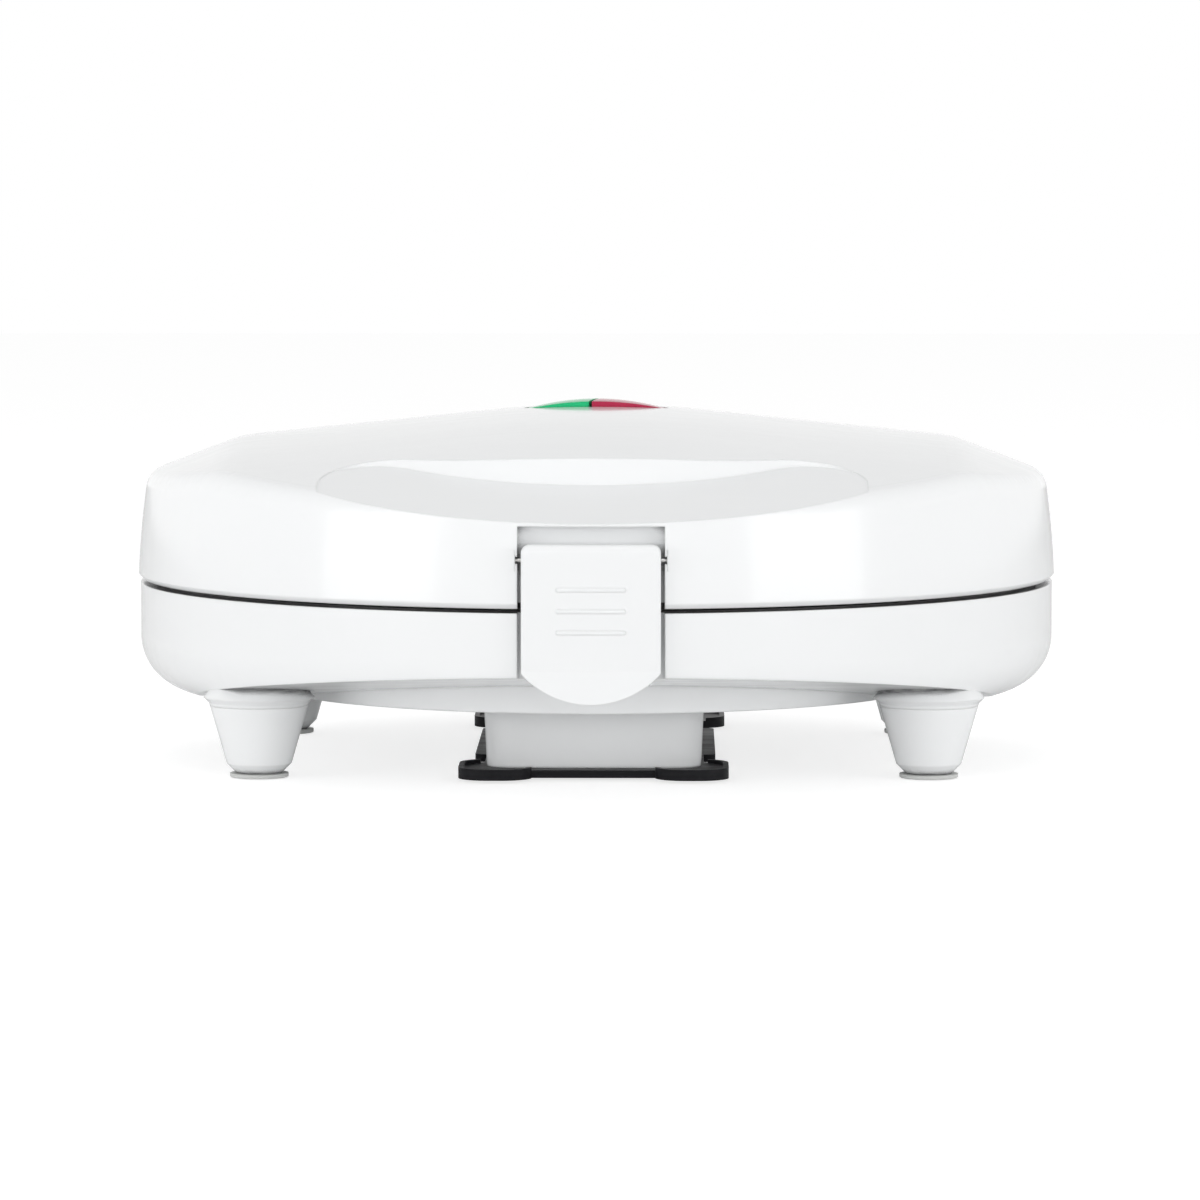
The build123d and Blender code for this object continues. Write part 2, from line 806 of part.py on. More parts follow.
with BuildPart() as thermal_fuse:
    with BuildSketch(Plane.YZ.offset(-fuse_length / 2)):
        with Locations((fuse_y, upper_back + element_gap + fuse_radius)):
            Circle(fuse_radius)
    extrude(amount=fuse_length)
    with BuildSketch(Plane.YZ):
        with Locations((fuse_y, upper_back + element_gap + fuse_radius)):
            Circle(fuse_wire_radius)
    extrude(amount=fuse_length / 2 + fuse_wire_length, both=True)
save(thermal_fuse.part, "thermal_fuse")

# Lamp holder under the window, and its two lamps
holder_bottom = lid_ceiling - holder_height
with BuildPart() as lamp_holder:
    with BuildSketch(Plane.XY.offset(holder_bottom)):
        RectangleRounded(2 * holder_half_width, 2 * holder_half_depth, 2 * holder_wall)
    extrude(amount=holder_height)
    with BuildSketch(Plane.XY.offset(lid_ceiling)):
        RectangleRounded(
            2 * (holder_half_width - holder_wall),
            2 * (holder_half_depth - holder_wall),
            holder_wall,
        )
    extrude(amount=-lens_flange_height, mode=Mode.SUBTRACT)
    with BuildSketch(Plane.XY.offset(lid_ceiling)):
        Rectangle(2 * lens_half_length, 2 * lens_half_depth)
    extrude(amount=-holder_height + holder_wall, mode=Mode.SUBTRACT)
save(lamp_holder.part, "lamp_holder")

with BuildPart() as neon_lamps:
    lamp_height = holder_bottom + holder_wall + lamp_gap + lamp_radius
    for x in (-lamp_x, lamp_x):
        with BuildSketch(Plane.YZ.offset(x - lamp_length / 2)):
            with Locations((0, lamp_height)):
                Circle(lamp_radius)
        extrude(amount=lamp_length)
    fillet(neon_lamps.edges().filter_by(GeomType.CIRCLE), lamp_tip_round)
save(neon_lamps.part, "neon_lamps")

# Hinge pins: headed, one on each side
with BuildPart() as hinge_pins:
    pin_inner = hinge_x - ear_offset - ear_width
    pin_outer = hinge_x + ear_offset + ear_width
    add(across(pin_inner, pin_outer - pin_inner, hinge_pin_radius))
    add(across(pin_outer, pin_head_length, pin_head_radius))
    mirror(about=Plane.YZ)
save(hinge_pins.part, "hinge_pins")

# Latch: bent plate with a round lip, a pin eye behind its top, a hook and three ribs
with BuildPart() as latch:
    lip_y = -half_depth
    back_y = latch_front_y + latch_thickness
    lip_back_y = lip_y + latch_thickness
    with BuildSketch(Plane.YZ.offset(-latch_width / 2)) as latch_side:
        with BuildLine():
            Polyline(
                (latch_front_y, latch_top),
                (latch_front_y, latch_bend),
                (lip_y, latch_bottom),
                (lip_back_y, latch_bottom),
                (back_y, latch_bend),
                (back_y, latch_pin_z - 2 * latch_knuckle_radius),
                (latch_pin_y, latch_pin_z - latch_knuckle_radius),
                (latch_pin_y, latch_pin_z + latch_knuckle_radius),
                (back_y, latch_top),
                close=True,
            )
        make_face()
        with Locations((latch_pin_y, latch_pin_z)):
            Circle(latch_knuckle_radius)
    extrude(amount=latch_width)
    # Round lower edge of the lip, seen from the front
    with BuildSketch(Plane.XZ.offset(-lip_back_y)):
        with Locations((0, latch_bottom + latch_lip_radius)):
            Circle(latch_lip_radius)
        with Locations((0, latch_bend)):
            Rectangle(2 * latch_width, far, align=(Align.CENTER, Align.MIN))
    extrude(amount=far, both=True, mode=Mode.INTERSECT)
    front_edges = latch.edges().filter_by(Axis.Z).filter_by(
        lambda e: abs(e.center().Y - latch_front_y) < touch
    )
    fillet(front_edges, latch_edge)
    top_edges = latch.edges().filter_by(Axis.X).filter_by(
        lambda e: e.center().Z > latch_top - touch and abs(e.center().Y - latch_front_y) < touch
    )
    fillet(top_edges, latch_top_round)
    # Hook behind the plate
    hook_tip = base_notch_back_y - catch_reach - catch_clearance
    with BuildSketch(Plane.YZ.offset(-catch_half_width)):
        with BuildLine():
            Polyline(
                (back_y, hook_top),
                (hook_tip, hook_top),
                (hook_tip, hook_top - hook_tip_height),
                (back_y, hook_bottom),
                close=True,
            )
        make_face()
    extrude(amount=2 * catch_half_width)
    # Grip ribs
    with BuildSketch(Plane.XZ.offset(-latch_front_y)):
        with Locations(*[(0, height) for height in rib_heights]):
            SlotOverall(rib_length, rib_thickness)
    extrude(amount=rib_height)
    rib_faces = latch.faces().filter_by(lambda f: abs(f.center().Y - latch_front_y + rib_height) < touch)
    fillet(rib_faces.edges(), rib_round)
    # Bore for the pin
    with BuildSketch(Plane.YZ):
        with Locations((latch_pin_y, latch_pin_z)):
            Circle(latch_pin_radius + latch_fit)
    extrude(amount=latch_width, both=True, mode=Mode.SUBTRACT)
save(latch.part, "latch")

with BuildPart() as latch_pin:
    with BuildSketch(Plane.YZ):
        with Locations((latch_pin_y, latch_pin_z)):
            Circle(latch_pin_radius)
    extrude(amount=notch_half_width + latch_pin_grip, both=True)
save(latch_pin.part, "latch_pin")

# Cord winder: drum under the base, lobed plate below it, and the screws through both
winder_plate_top = winder_plate_bottom + winder_plate_thickness
with BuildPart() as cord_winder_core:
    with BuildSketch(Plane.XY.offset(base_bottom)):
        with Locations((0, winder_y)):
            RectangleRounded(core_width, core_length, core_corner_radius)
    extrude(amount=winder_plate_top - base_bottom, taper=core_draft)
    with BuildSketch(Plane.XY.offset(base_bottom)):
        with Locations((0, winder_y)):
            RectangleRounded(
                core_width + 2 * core_flange,
                core_length + 2 * core_flange,
                core_corner_radius + core_flange,
            )
    extrude(amount=-core_flange_height)
    with BuildSketch(Plane.XY.offset(base_bottom)):
        with Locations((0, winder_y)):
            RectangleRounded(
                core_width - 2 * core_wall,
                core_length - 2 * core_wall,
                core_corner_radius - core_wall,
            )
        with Locations(*winder_screw_places):
            Circle(boss_radius, mode=Mode.SUBTRACT)
    extrude(amount=winder_plate_top + core_wall - base_bottom, taper=core_draft, mode=Mode.SUBTRACT)
    with BuildSketch(Plane.XY):
        with Locations(*winder_screw_places):
            Circle(winder_screw_radius + screw_clearance)
    extrude(amount=base_bottom, mode=Mode.SUBTRACT)
save(cord_winder_core.part, "cord_winder_core")

with BuildPart() as cord_winder_plate:
    lobe_places = [
        (x, winder_y + y) for x in (-winder_lobe_x, winder_lobe_x) for y in (-winder_lobe_y, winder_lobe_y)
    ]
    with BuildSketch(Plane.XY.offset(winder_plate_bottom)) as winder_outline:
        with Locations((0, winder_y)):
            Rectangle(winder_waist_width, winder_waist_length)
            Rectangle(winder_middle_width, winder_middle_length)
        with Locations(*lobe_places):
            RectangleRounded(winder_lobe_width, winder_lobe_length, winder_lobe_radius)
    extrude(amount=winder_plate_thickness)
    middle_corners = cord_winder_plate.edges().filter_by(Axis.Z).filter_by(
        lambda e: abs(abs(e.center().X) - winder_middle_width / 2) < touch
        and abs(abs(e.center().Y - winder_y) - winder_middle_length / 2) < touch
    )
    fillet(middle_corners, winder_corner_round)
    with BuildSketch(Plane.XY.offset(winder_plate_top)):
        with Locations(*lobe_places):
            RectangleRounded(winder_lobe_width, winder_lobe_length, winder_lobe_radius)
        with Locations((0, winder_y)):
            Rectangle(core_width + 2 * winder_rim_clearance, winder_waist_length, mode=Mode.SUBTRACT)
        with Locations(*lobe_places):
            RectangleRounded(
                winder_lobe_width - 2 * winder_lobe_rim_width,
                winder_lobe_length - 2 * winder_lobe_rim_width,
                winder_lobe_radius - winder_lobe_rim_width,
                mode=Mode.SUBTRACT,
            )
    extrude(amount=winder_lobe_rim_height)
    with Locations(Plane(origin=(0, 0, winder_plate_bottom), x_dir=(1, 0, 0), z_dir=(0, 0, -1))):
        with Locations(*[(x, -y) for x, y in winder_screw_places]):
            CounterSinkHole(
                winder_screw_radius + screw_clearance,
                winder_screw_head_radius + screw_clearance,
                depth=winder_plate_thickness,
            )
save(cord_winder_plate.part, "cord_winder_plate")

with BuildPart() as winder_screws:
    head_height = winder_screw_head_radius - winder_screw_radius
    for x, y in winder_screw_places:
        screw_plane = Plane(origin=(x, y, winder_plate_bottom + screw_clearance), z_dir=(0, 0, 1))
        with BuildSketch(screw_plane):
            Circle(winder_screw_head_radius)
        with BuildSketch(screw_plane.offset(head_height)):
            Circle(winder_screw_radius)
        loft()
        with BuildSketch(screw_plane.offset(head_height)):
            Circle(winder_screw_radius)
        extrude(amount=winder_screw_top - winder_plate_bottom - head_height - screw_clearance)
save(winder_screws.part, "winder_screws")

# Cord bush in the back wall of the base
with BuildPart() as cord_inlet:
    with BuildSketch(Plane.XZ.offset(-inlet_outer)):
        with Locations((0, inlet_height)):
            Circle(inlet_radius)
    extrude(amount=inlet_outer - inlet_inner)
    with BuildSketch(Plane.XZ.offset(-inlet_outer)):
        with Locations((0, inlet_height)):
            Circle(inlet_flange_radius)
    extrude(amount=-inlet_flange_thickness)
    with BuildSketch(Plane.XZ.offset(-inlet_inner)):
        with Locations((0, inlet_height)):
            Circle(inlet_flange_radius)
    extrude(amount=inlet_flange_thickness)
    with BuildSketch(Plane.XZ.offset(-half_depth)):
        with Locations((0, inlet_height)):
            Circle(inlet_bore_radius)
    extrude(amount=half_depth / 2, mode=Mode.SUBTRACT)
save(cord_inlet.part, "cord_inlet")

# Terminal block on the floor of the base
with BuildPart() as terminal_block:
    with BuildSketch(Plane.XY.offset(base_floor)):
        with Locations((terminal_x, terminal_y)):
            RectangleRounded(terminal_width, terminal_depth, terminal_corner_radius)
    extrude(amount=terminal_height)
    with BuildSketch(Plane.XY.offset(base_floor + terminal_height)):
        with Locations((terminal_x, terminal_y)):
            with GridLocations(terminal_pitch, 0, 3, 1):
                Circle(terminal_well_radius)
    extrude(amount=-terminal_well_depth, mode=Mode.SUBTRACT)
save(terminal_block.part, "terminal_block")
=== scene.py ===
# %% [markdown]
# # Dressing a round sandwich maker
# The solids of the appliance already exist: two white shells, their cooking plates, a latch, a
# winder and the works inside. This lesson gives each of them a finish, adds the small fasteners
# that a solid model leaves plain, and lights the result like a catalogue picture.
# The model is loaded as a fixed frame, so nothing here moves or resizes the appliance.

# %% Load the frame
import json
from math import cos, pi, sin
import bmesh
import bpy
from mathutils import Matrix, Vector


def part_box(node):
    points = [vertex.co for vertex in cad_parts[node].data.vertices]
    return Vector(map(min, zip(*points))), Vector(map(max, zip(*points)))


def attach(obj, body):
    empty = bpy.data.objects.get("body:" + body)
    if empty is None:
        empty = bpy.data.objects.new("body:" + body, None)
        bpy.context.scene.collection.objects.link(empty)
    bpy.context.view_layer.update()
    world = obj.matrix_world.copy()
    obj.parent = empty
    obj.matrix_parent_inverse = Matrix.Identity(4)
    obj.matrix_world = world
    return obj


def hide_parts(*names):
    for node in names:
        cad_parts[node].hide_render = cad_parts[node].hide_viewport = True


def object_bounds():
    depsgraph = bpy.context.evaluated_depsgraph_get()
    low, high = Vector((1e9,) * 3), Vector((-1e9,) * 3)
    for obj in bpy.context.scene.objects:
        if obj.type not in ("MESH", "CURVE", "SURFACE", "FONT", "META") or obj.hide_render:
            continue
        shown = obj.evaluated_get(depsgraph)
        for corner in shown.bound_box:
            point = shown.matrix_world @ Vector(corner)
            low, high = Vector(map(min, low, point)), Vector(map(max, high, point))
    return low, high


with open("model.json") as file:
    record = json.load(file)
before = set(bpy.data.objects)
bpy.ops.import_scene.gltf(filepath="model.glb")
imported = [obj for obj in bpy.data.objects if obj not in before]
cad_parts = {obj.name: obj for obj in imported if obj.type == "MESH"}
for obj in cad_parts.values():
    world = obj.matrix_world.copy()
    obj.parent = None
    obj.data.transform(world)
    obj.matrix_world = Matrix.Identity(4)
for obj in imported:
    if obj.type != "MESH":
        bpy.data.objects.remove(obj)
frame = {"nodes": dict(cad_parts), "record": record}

MM = 0.001
cad_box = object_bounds()
body_low, body_high = cad_box
print("appliance, mm:", [round(v / MM, 1) for v in body_high - body_low])

# %% [markdown]
# ## The camera
# A catalogue camera stands well back, so the round body keeps its true outline. The picture is
# square, and the appliance fills three quarters of its width from 1.67 m away, which asks for a
# lens of nearly 200 mm. The camera is a little above the lid and a touch to the right, and looks
# down at the front of the appliance. An aim point is easier to read than three angles, so the
# rotation is worked out from where the camera stands to what it looks at.

# %% Place the camera
CAMERA_PLACE = Vector((0.0189, -1.670, 0.166))
CAMERA_AIM = Vector((0.0009, 0.0, 0.0391))
CAMERA_LENS = 198.5      # mm, on a 36 mm wide film

camera_data = bpy.data.cameras.new("catalogue_camera")
camera_data.lens = CAMERA_LENS
camera_data.sensor_width = 36.0
camera_data.clip_end = 20.0
camera = bpy.data.objects.new("catalogue_camera", camera_data)
bpy.context.scene.collection.objects.link(camera)
camera.location = CAMERA_PLACE
camera.rotation_mode = "QUATERNION"
camera.rotation_quaternion = (CAMERA_AIM - CAMERA_PLACE).to_track_quat("-Z", "Y")
bpy.context.scene.camera = camera
print("camera to aim, m:", round((CAMERA_AIM - CAMERA_PLACE).length, 3))

# %% [markdown]
# ## Helpers for node materials
# Every finish below is a small network of nodes. Building one takes three steps that always look
# the same: make a node, set its plain values, join two sockets. Three short helpers keep the
# recipes readable, because then each line says what the finish does and not how Blender stores it.

# %% Node helpers
def add_node(tree, kind, **settings):
    """Makes one node. Settings that name an input set its value; the others set the node itself."""
    node = tree.nodes.new(kind)
    for name, value in settings.items():
        socket_name = name.replace("_", " ")
        if hasattr(node, name):
            setattr(node, name, value)
        else:
            node.inputs[socket_name].default_value = value
    return node


def join(tree, source, target):
    """Joins an output to an input; both are written as (node, socket name or number)."""
    tree.links.new(source[0].outputs[source[1]], target[0].inputs[target[1]])


def new_group(name, inputs, outputs):
    """An empty node group with named sockets: (name, kind, default) in, (name, kind) out."""
    group = bpy.data.node_groups.new(name, "ShaderNodeTree")
    for socket_name, kind, default in inputs:
        socket = group.interface.new_socket(socket_name, in_out="INPUT", socket_type=kind)
        socket.default_value = default
    for socket_name, kind in outputs:
        group.interface.new_socket(socket_name, in_out="OUTPUT", socket_type=kind)
    return group, group.nodes.new("NodeGroupInput"), group.nodes.new("NodeGroupOutput")


def place_group(tree, group, **values):
    """Puts a group into a material and sets its inputs by name."""
    node = tree.nodes.new("ShaderNodeGroup")
    node.node_tree = group
    for name, value in values.items():
        node.inputs[name.replace("_", " ")].default_value = value
    return node


print("helpers ready")

# %% [markdown]
# ## Group: moulded grain
# No moulded part is optically flat. The steel mould leaves a fine orange-peel, and the plastic
# sinks a little as it cools, which shows as slow waves in the reflections. One group makes both
# from two noise fields of very different size and adds them, so each material only chooses how
# coarse and how strong they are. The result is a height for a Bump node.

# %% Make the moulded grain group
FLOAT = "NodeSocketFloat"
COLOR = "NodeSocketColor"
VECTOR = "NodeSocketVector"

moulded_grain, grain_in, grain_out = new_group(
    "moulded_grain",
    [("Grain Scale", FLOAT, 900.0), ("Wave Scale", FLOAT, 25.0), ("Wave Share", FLOAT, 0.5)],
    [("Height", FLOAT)],
)
grain_place = add_node(moulded_grain, "ShaderNodeTexCoord")
fine = add_node(moulded_grain, "ShaderNodeTexNoise", Detail=2.0, Roughness=0.6)
waves = add_node(moulded_grain, "ShaderNodeTexNoise", Detail=0.0)
blend_heights = add_node(moulded_grain, "ShaderNodeMix", data_type="FLOAT")
join(moulded_grain, (grain_place, "Object"), (fine, "Vector"))
join(moulded_grain, (grain_place, "Object"), (waves, "Vector"))
join(moulded_grain, (grain_in, "Grain Scale"), (fine, "Scale"))
join(moulded_grain, (grain_in, "Wave Scale"), (waves, "Scale"))
join(moulded_grain, (grain_in, "Wave Share"), (blend_heights, 0))
join(moulded_grain, (fine, 0), (blend_heights, 2))
join(moulded_grain, (waves, 0), (blend_heights, 3))
join(moulded_grain, (blend_heights, 0), (grain_out, "Height"))
print("group", moulded_grain.name, "has", len(moulded_grain.nodes), "nodes")

# %% [markdown]
# ## Group: handled gloss
# A kitchen appliance is wiped and touched. Its gloss is never even: faint streaks from a cloth
# and clouds from fingers make some places a little duller. The group starts from the roughness
# that the clean material has and adds a spread that follows stretched noise. It is kept apart
# from the grain, because gloss and height must not follow the same pattern.

# %% Make the handled gloss group
handled_gloss, gloss_in, gloss_out = new_group(
    "handled_gloss",
    [("Clean", FLOAT, 0.2), ("Spread", FLOAT, 0.08), ("Scale", FLOAT, 18.0)],
    [("Roughness", FLOAT)],
)
gloss_place = add_node(handled_gloss, "ShaderNodeTexCoord")
wipe_stretch = add_node(handled_gloss, "ShaderNodeMapping")
wipe_stretch.inputs["Scale"].default_value = (1.0, 4.0, 1.6)
smears = add_node(handled_gloss, "ShaderNodeTexNoise", Detail=4.0, Roughness=0.65, Distortion=0.6)
smear_mask = add_node(handled_gloss, "ShaderNodeMapRange")
smear_mask.inputs["From Min"].default_value = 0.38
smear_mask.inputs["From Max"].default_value = 0.72
smear_amount = add_node(handled_gloss, "ShaderNodeMath", operation="MULTIPLY_ADD")
join(handled_gloss, (gloss_place, "Object"), (wipe_stretch, "Vector"))
join(handled_gloss, (wipe_stretch, 0), (smears, "Vector"))
join(handled_gloss, (gloss_in, "Scale"), (smears, "Scale"))
join(handled_gloss, (smears, 0), (smear_mask, 0))
join(handled_gloss, (smear_mask, 0), (smear_amount, 0))
join(handled_gloss, (gloss_in, "Spread"), (smear_amount, 1))
join(handled_gloss, (gloss_in, "Clean"), (smear_amount, 2))
join(handled_gloss, (smear_amount, 0), (gloss_out, "Roughness"))
print("group", handled_gloss.name, "has", len(handled_gloss.nodes), "nodes")

# %% [markdown]
# ## Group: tone drift
# Pigment is never mixed perfectly, coatings vary in thickness and metal oxidises unevenly. The
# group drifts slowly from one colour to a second one that each material names, along soft noise.
# Small values of Drift keep it below what one would call a pattern.

# %% Make the tone drift group
tone_drift, tone_in, tone_out = new_group(
    "tone_drift",
    [
        ("Main Color", COLOR, (0.8, 0.8, 0.8, 1.0)),
        ("Second Color", COLOR, (0.7, 0.7, 0.7, 1.0)),
        ("Drift", FLOAT, 0.3),
        ("Scale", FLOAT, 12.0),
    ],
    [("Color", COLOR)],
)
tone_place = add_node(tone_drift, "ShaderNodeTexCoord")
clouds = add_node(tone_drift, "ShaderNodeTexNoise", Detail=3.0, Roughness=0.55)
cloud_amount = add_node(tone_drift, "ShaderNodeMath", operation="MULTIPLY")
tone_mix = add_node(tone_drift, "ShaderNodeMix", data_type="RGBA")
join(tone_drift, (tone_place, "Object"), (clouds, "Vector"))
join(tone_drift, (tone_in, "Scale"), (clouds, "Scale"))
join(tone_drift, (clouds, 0), (cloud_amount, 0))
join(tone_drift, (tone_in, "Drift"), (cloud_amount, 1))
join(tone_drift, (cloud_amount, 0), (tone_mix, 0))
join(tone_drift, (tone_in, "Main Color"), (tone_mix, 6))
join(tone_drift, (tone_in, "Second Color"), (tone_mix, 7))
join(tone_drift, (tone_mix, 2), (tone_out, "Color"))
print("group", tone_drift.name, "has", len(tone_drift.nodes), "nodes")

# %% [markdown]
# ## Group: worn edges
# Light catches an edge because it is slightly round, and hands and cloths rub it first. The
# Bevel node looks round the corner of the mesh and gives the normal that a small rounding would
# have. Where that normal differs from the flat one there is an edge, so the same node also gives
# a mask for wear. This is cheaper than cutting hundreds of tiny roundings into every solid.

# %% Make the worn edges group
worn_edges, edge_in, edge_out = new_group(
    "worn_edges",
    [("Radius", FLOAT, 0.0006), ("Wear", FLOAT, 1.0)],
    [("Normal", VECTOR), ("Edge", FLOAT)],
)
rounding = add_node(worn_edges, "ShaderNodeBevel", samples=6)
plain_normal = add_node(worn_edges, "ShaderNodeNewGeometry")
turn = add_node(worn_edges, "ShaderNodeVectorMath", operation="DOT_PRODUCT")
edge_mask = add_node(worn_edges, "ShaderNodeMapRange")
edge_mask.inputs["From Min"].default_value = 0.995
edge_mask.inputs["From Max"].default_value = 0.80
edge_patches = add_node(worn_edges, "ShaderNodeTexNoise", Scale=140.0, Detail=3.0)
broken_edge = add_node(worn_edges, "ShaderNodeMath", operation="MULTIPLY")
edge_strength = add_node(worn_edges, "ShaderNodeMath", operation="MULTIPLY", use_clamp=True)
join(worn_edges, (edge_in, "Radius"), (rounding, "Radius"))
join(worn_edges, (rounding, 0), (turn, 0))
join(worn_edges, (plain_normal, "Normal"), (turn, 1))
join(worn_edges, (turn, "Value"), (edge_mask, 0))
join(worn_edges, (edge_mask, 0), (broken_edge, 0))
join(worn_edges, (edge_patches, 0), (broken_edge, 1))
join(worn_edges, (broken_edge, 0), (edge_strength, 0))
join(worn_edges, (edge_in, "Wear"), (edge_strength, 1))
join(worn_edges, (rounding, 0), (edge_out, "Normal"))
join(worn_edges, (edge_strength, 0), (edge_out, "Edge"))
print("group", worn_edges.name, "has", len(worn_edges.nodes), "nodes")

# %% [markdown]
# ## Group: painted crevice shade
# The seam, the gaps beside the latch and the places under small heads fall into shade, and this
# group paints that shade in as a near-black colour. Ambient occlusion over a few millimetres
# finds such places, because rays that leave them soon hit something. Noise breaks the mask up,
# and the group gives it to a colour mix, so a surface in the open stays as it was.

# %% Make the painted crevice shade group
crevice_painted_shade, shade_in, shade_out = new_group(
    "crevice_painted_shade",
    [("Reach", FLOAT, 0.004), ("Amount", FLOAT, 0.5)],
    [("Painted Shade", FLOAT)],
)
# Painted shade: occlusion over a few millimetres marks the crevices that get a near-black colour.
openness = add_node(crevice_painted_shade, "ShaderNodeAmbientOcclusion", samples=8)
closed_in = add_node(crevice_painted_shade, "ShaderNodeMapRange")
closed_in.inputs["From Min"].default_value = 0.50
closed_in.inputs["From Max"].default_value = 0.25
shade_patches = add_node(crevice_painted_shade, "ShaderNodeTexNoise", Scale=60.0, Detail=3.0)
patch_share = add_node(crevice_painted_shade, "ShaderNodeMath", operation="ADD", use_clamp=True)
patch_share.inputs[1].default_value = 0.35
broken_shade = add_node(crevice_painted_shade, "ShaderNodeMath", operation="MULTIPLY")
shade_strength = add_node(crevice_painted_shade, "ShaderNodeMath", operation="MULTIPLY", use_clamp=True)
join(crevice_painted_shade, (shade_in, "Reach"), (openness, "Distance"))
join(crevice_painted_shade, (openness, "AO"), (closed_in, 0))
join(crevice_painted_shade, (shade_patches, 0), (patch_share, 0))
join(crevice_painted_shade, (closed_in, 0), (broken_shade, 0))
join(crevice_painted_shade, (patch_share, 0), (broken_shade, 1))
join(crevice_painted_shade, (broken_shade, 0), (shade_strength, 0))
join(crevice_painted_shade, (shade_in, "Amount"), (shade_strength, 1))
join(crevice_painted_shade, (shade_strength, 0), (shade_out, "Painted Shade"))
print("group", crevice_painted_shade.name, "has", len(crevice_painted_shade.nodes), "nodes")

# %% [markdown]
# ## The recipe that most finishes share
# Plastic, rubber, coating and metal all need the same five things: a colour that drifts, a
# gloss that varies, a grain, rounded edges and some wear on them. What differs is only how much.
# White plastic also gets painted shade in its crevices, a near-black colour mixed in where gaps
# fall into shade, so that group joins in where a finish asks for it. One function lays out the
# network, and a finish is one call with its own values. Values that are the same all over a
# surface, such as a coat's thickness, are set on the shader's own socket.

# %% The shared recipe
# Near-black colour painted into crevices as painted shade, where gaps and seams fall into shade.
PAINTED_SHADE_COLOR = (0.06, 0.06, 0.065)
finishes = {}


def make_finish(
    slot, main, second, drift=0.3, drift_scale=12.0, clean=0.25, spread=0.08, smear_scale=18.0,
    grain_scale=900.0, wave_scale=25.0, wave_share=0.5, grain_depth=0.02, edge_radius=0.5,
    edge_color=None, edge_wear=0.0, metallic=0.0, coat=0.0, coat_roughness=0.05, specular=0.5,
    painted_shade=0.0,
):
    """A finish for one material slot. Depth and radius are in millimetres."""
    material = bpy.data.materials.new(slot)
    material.use_nodes = True
    tree = material.node_tree
    shader = tree.nodes["Principled BSDF"]
    shader.inputs["Metallic"].default_value = metallic
    shader.inputs["Coat Weight"].default_value = coat
    shader.inputs["Coat Roughness"].default_value = coat_roughness
    shader.inputs["Specular IOR Level"].default_value = specular
    tone = place_group(tree, tone_drift, Main_Color=(*main, 1.0), Second_Color=(*second, 1.0),
                       Drift=drift, Scale=drift_scale)
    gloss = place_group(tree, handled_gloss, Clean=clean, Spread=spread, Scale=smear_scale)
    grain = place_group(tree, moulded_grain, Grain_Scale=grain_scale, Wave_Scale=wave_scale,
                        Wave_Share=wave_share)
    edges = place_group(tree, worn_edges, Radius=edge_radius * MM, Wear=edge_wear)
    bump = add_node(tree, "ShaderNodeBump", Strength=1.0, Distance=grain_depth * MM)
    join(tree, (edges, "Normal"), (bump, "Normal"))
    join(tree, (grain, "Height"), (bump, "Height"))
    join(tree, (bump, 0), (shader, "Normal"))
    join(tree, (gloss, "Roughness"), (shader, "Roughness"))
    color = (tone, "Color")
    if edge_color is not None:
        rub = add_node(tree, "ShaderNodeMix", data_type="RGBA")
        rub.inputs[7].default_value = (*edge_color, 1.0)
        join(tree, (edges, "Edge"), (rub, 0))
        join(tree, color, (rub, 6))
        color = (rub, 2)
    # Painted shade: where ambient occlusion finds a crevice, a near-black colour is mixed into the
    # base colour.
    if painted_shade > 0:
        crevice_shade = place_group(tree, crevice_painted_shade, Amount=painted_shade)
        shade_mix = add_node(tree, "ShaderNodeMix", data_type="RGBA")
        shade_mix.inputs[7].default_value = (*PAINTED_SHADE_COLOR, 1.0)
        join(tree, (crevice_shade, "Painted Shade"), (shade_mix, 0))
        join(tree, color, (shade_mix, 6))
        color = (shade_mix, 2)
    join(tree, color, (shader, "Base Color"))
    finishes[slot] = {"material": material, "tree": tree, "shader": shader, "bump": bump,
                      "color": color}
    return finishes[slot]


print("recipe ready")

# %% [markdown]
# ## White plastics
# Both shells, the winder's drum and the legs are one glossy white plastic. White needs care:
# painted at full strength it clips, and every curve is lost. A value a little under white, with
# a cool second tone, keeps the shading of the crown readable. The gloss comes from a polished
# mould, so the grain is very shallow and the slow waves do most of the work. The latch is
# moulded in the same white, but in a satin mould, because fingers pull at it every day.

# %% White finishes
# Both white finishes get painted shade: a near-black colour in their crevices and gaps.
make_finish(
    "white_plastic", main=(0.89, 0.90, 0.905), second=(0.84, 0.855, 0.865), drift=0.25,
    drift_scale=7.0, clean=0.16, spread=0.07, grain_scale=1400.0, wave_scale=22.0,
    wave_share=0.8, grain_depth=0.012, edge_radius=0.8, edge_color=(0.90, 0.90, 0.89),
    edge_wear=0.5, coat=0.25, coat_roughness=0.04, painted_shade=0.9,
)
make_finish(
    "latch_plastic", main=(0.88, 0.89, 0.895), second=(0.83, 0.84, 0.85), drift=0.25,
    drift_scale=20.0, clean=0.30, spread=0.10, smear_scale=45.0, grain_scale=2200.0,
    wave_scale=60.0, wave_share=0.35, grain_depth=0.015, edge_radius=0.5,
    edge_color=(0.90, 0.90, 0.89), edge_wear=0.6, painted_shade=0.9,
)
print("finishes:", sorted(finishes))

# %% [markdown]
# ## Black winder plate and rubbers
# The winder's plate is a black technical plastic with an etched texture, and the cord rubs its
# rims bright. The pads under the legs are soft and pale, and pick up grime from the worktop. The
# bush at the back is the same family of rubber in white.

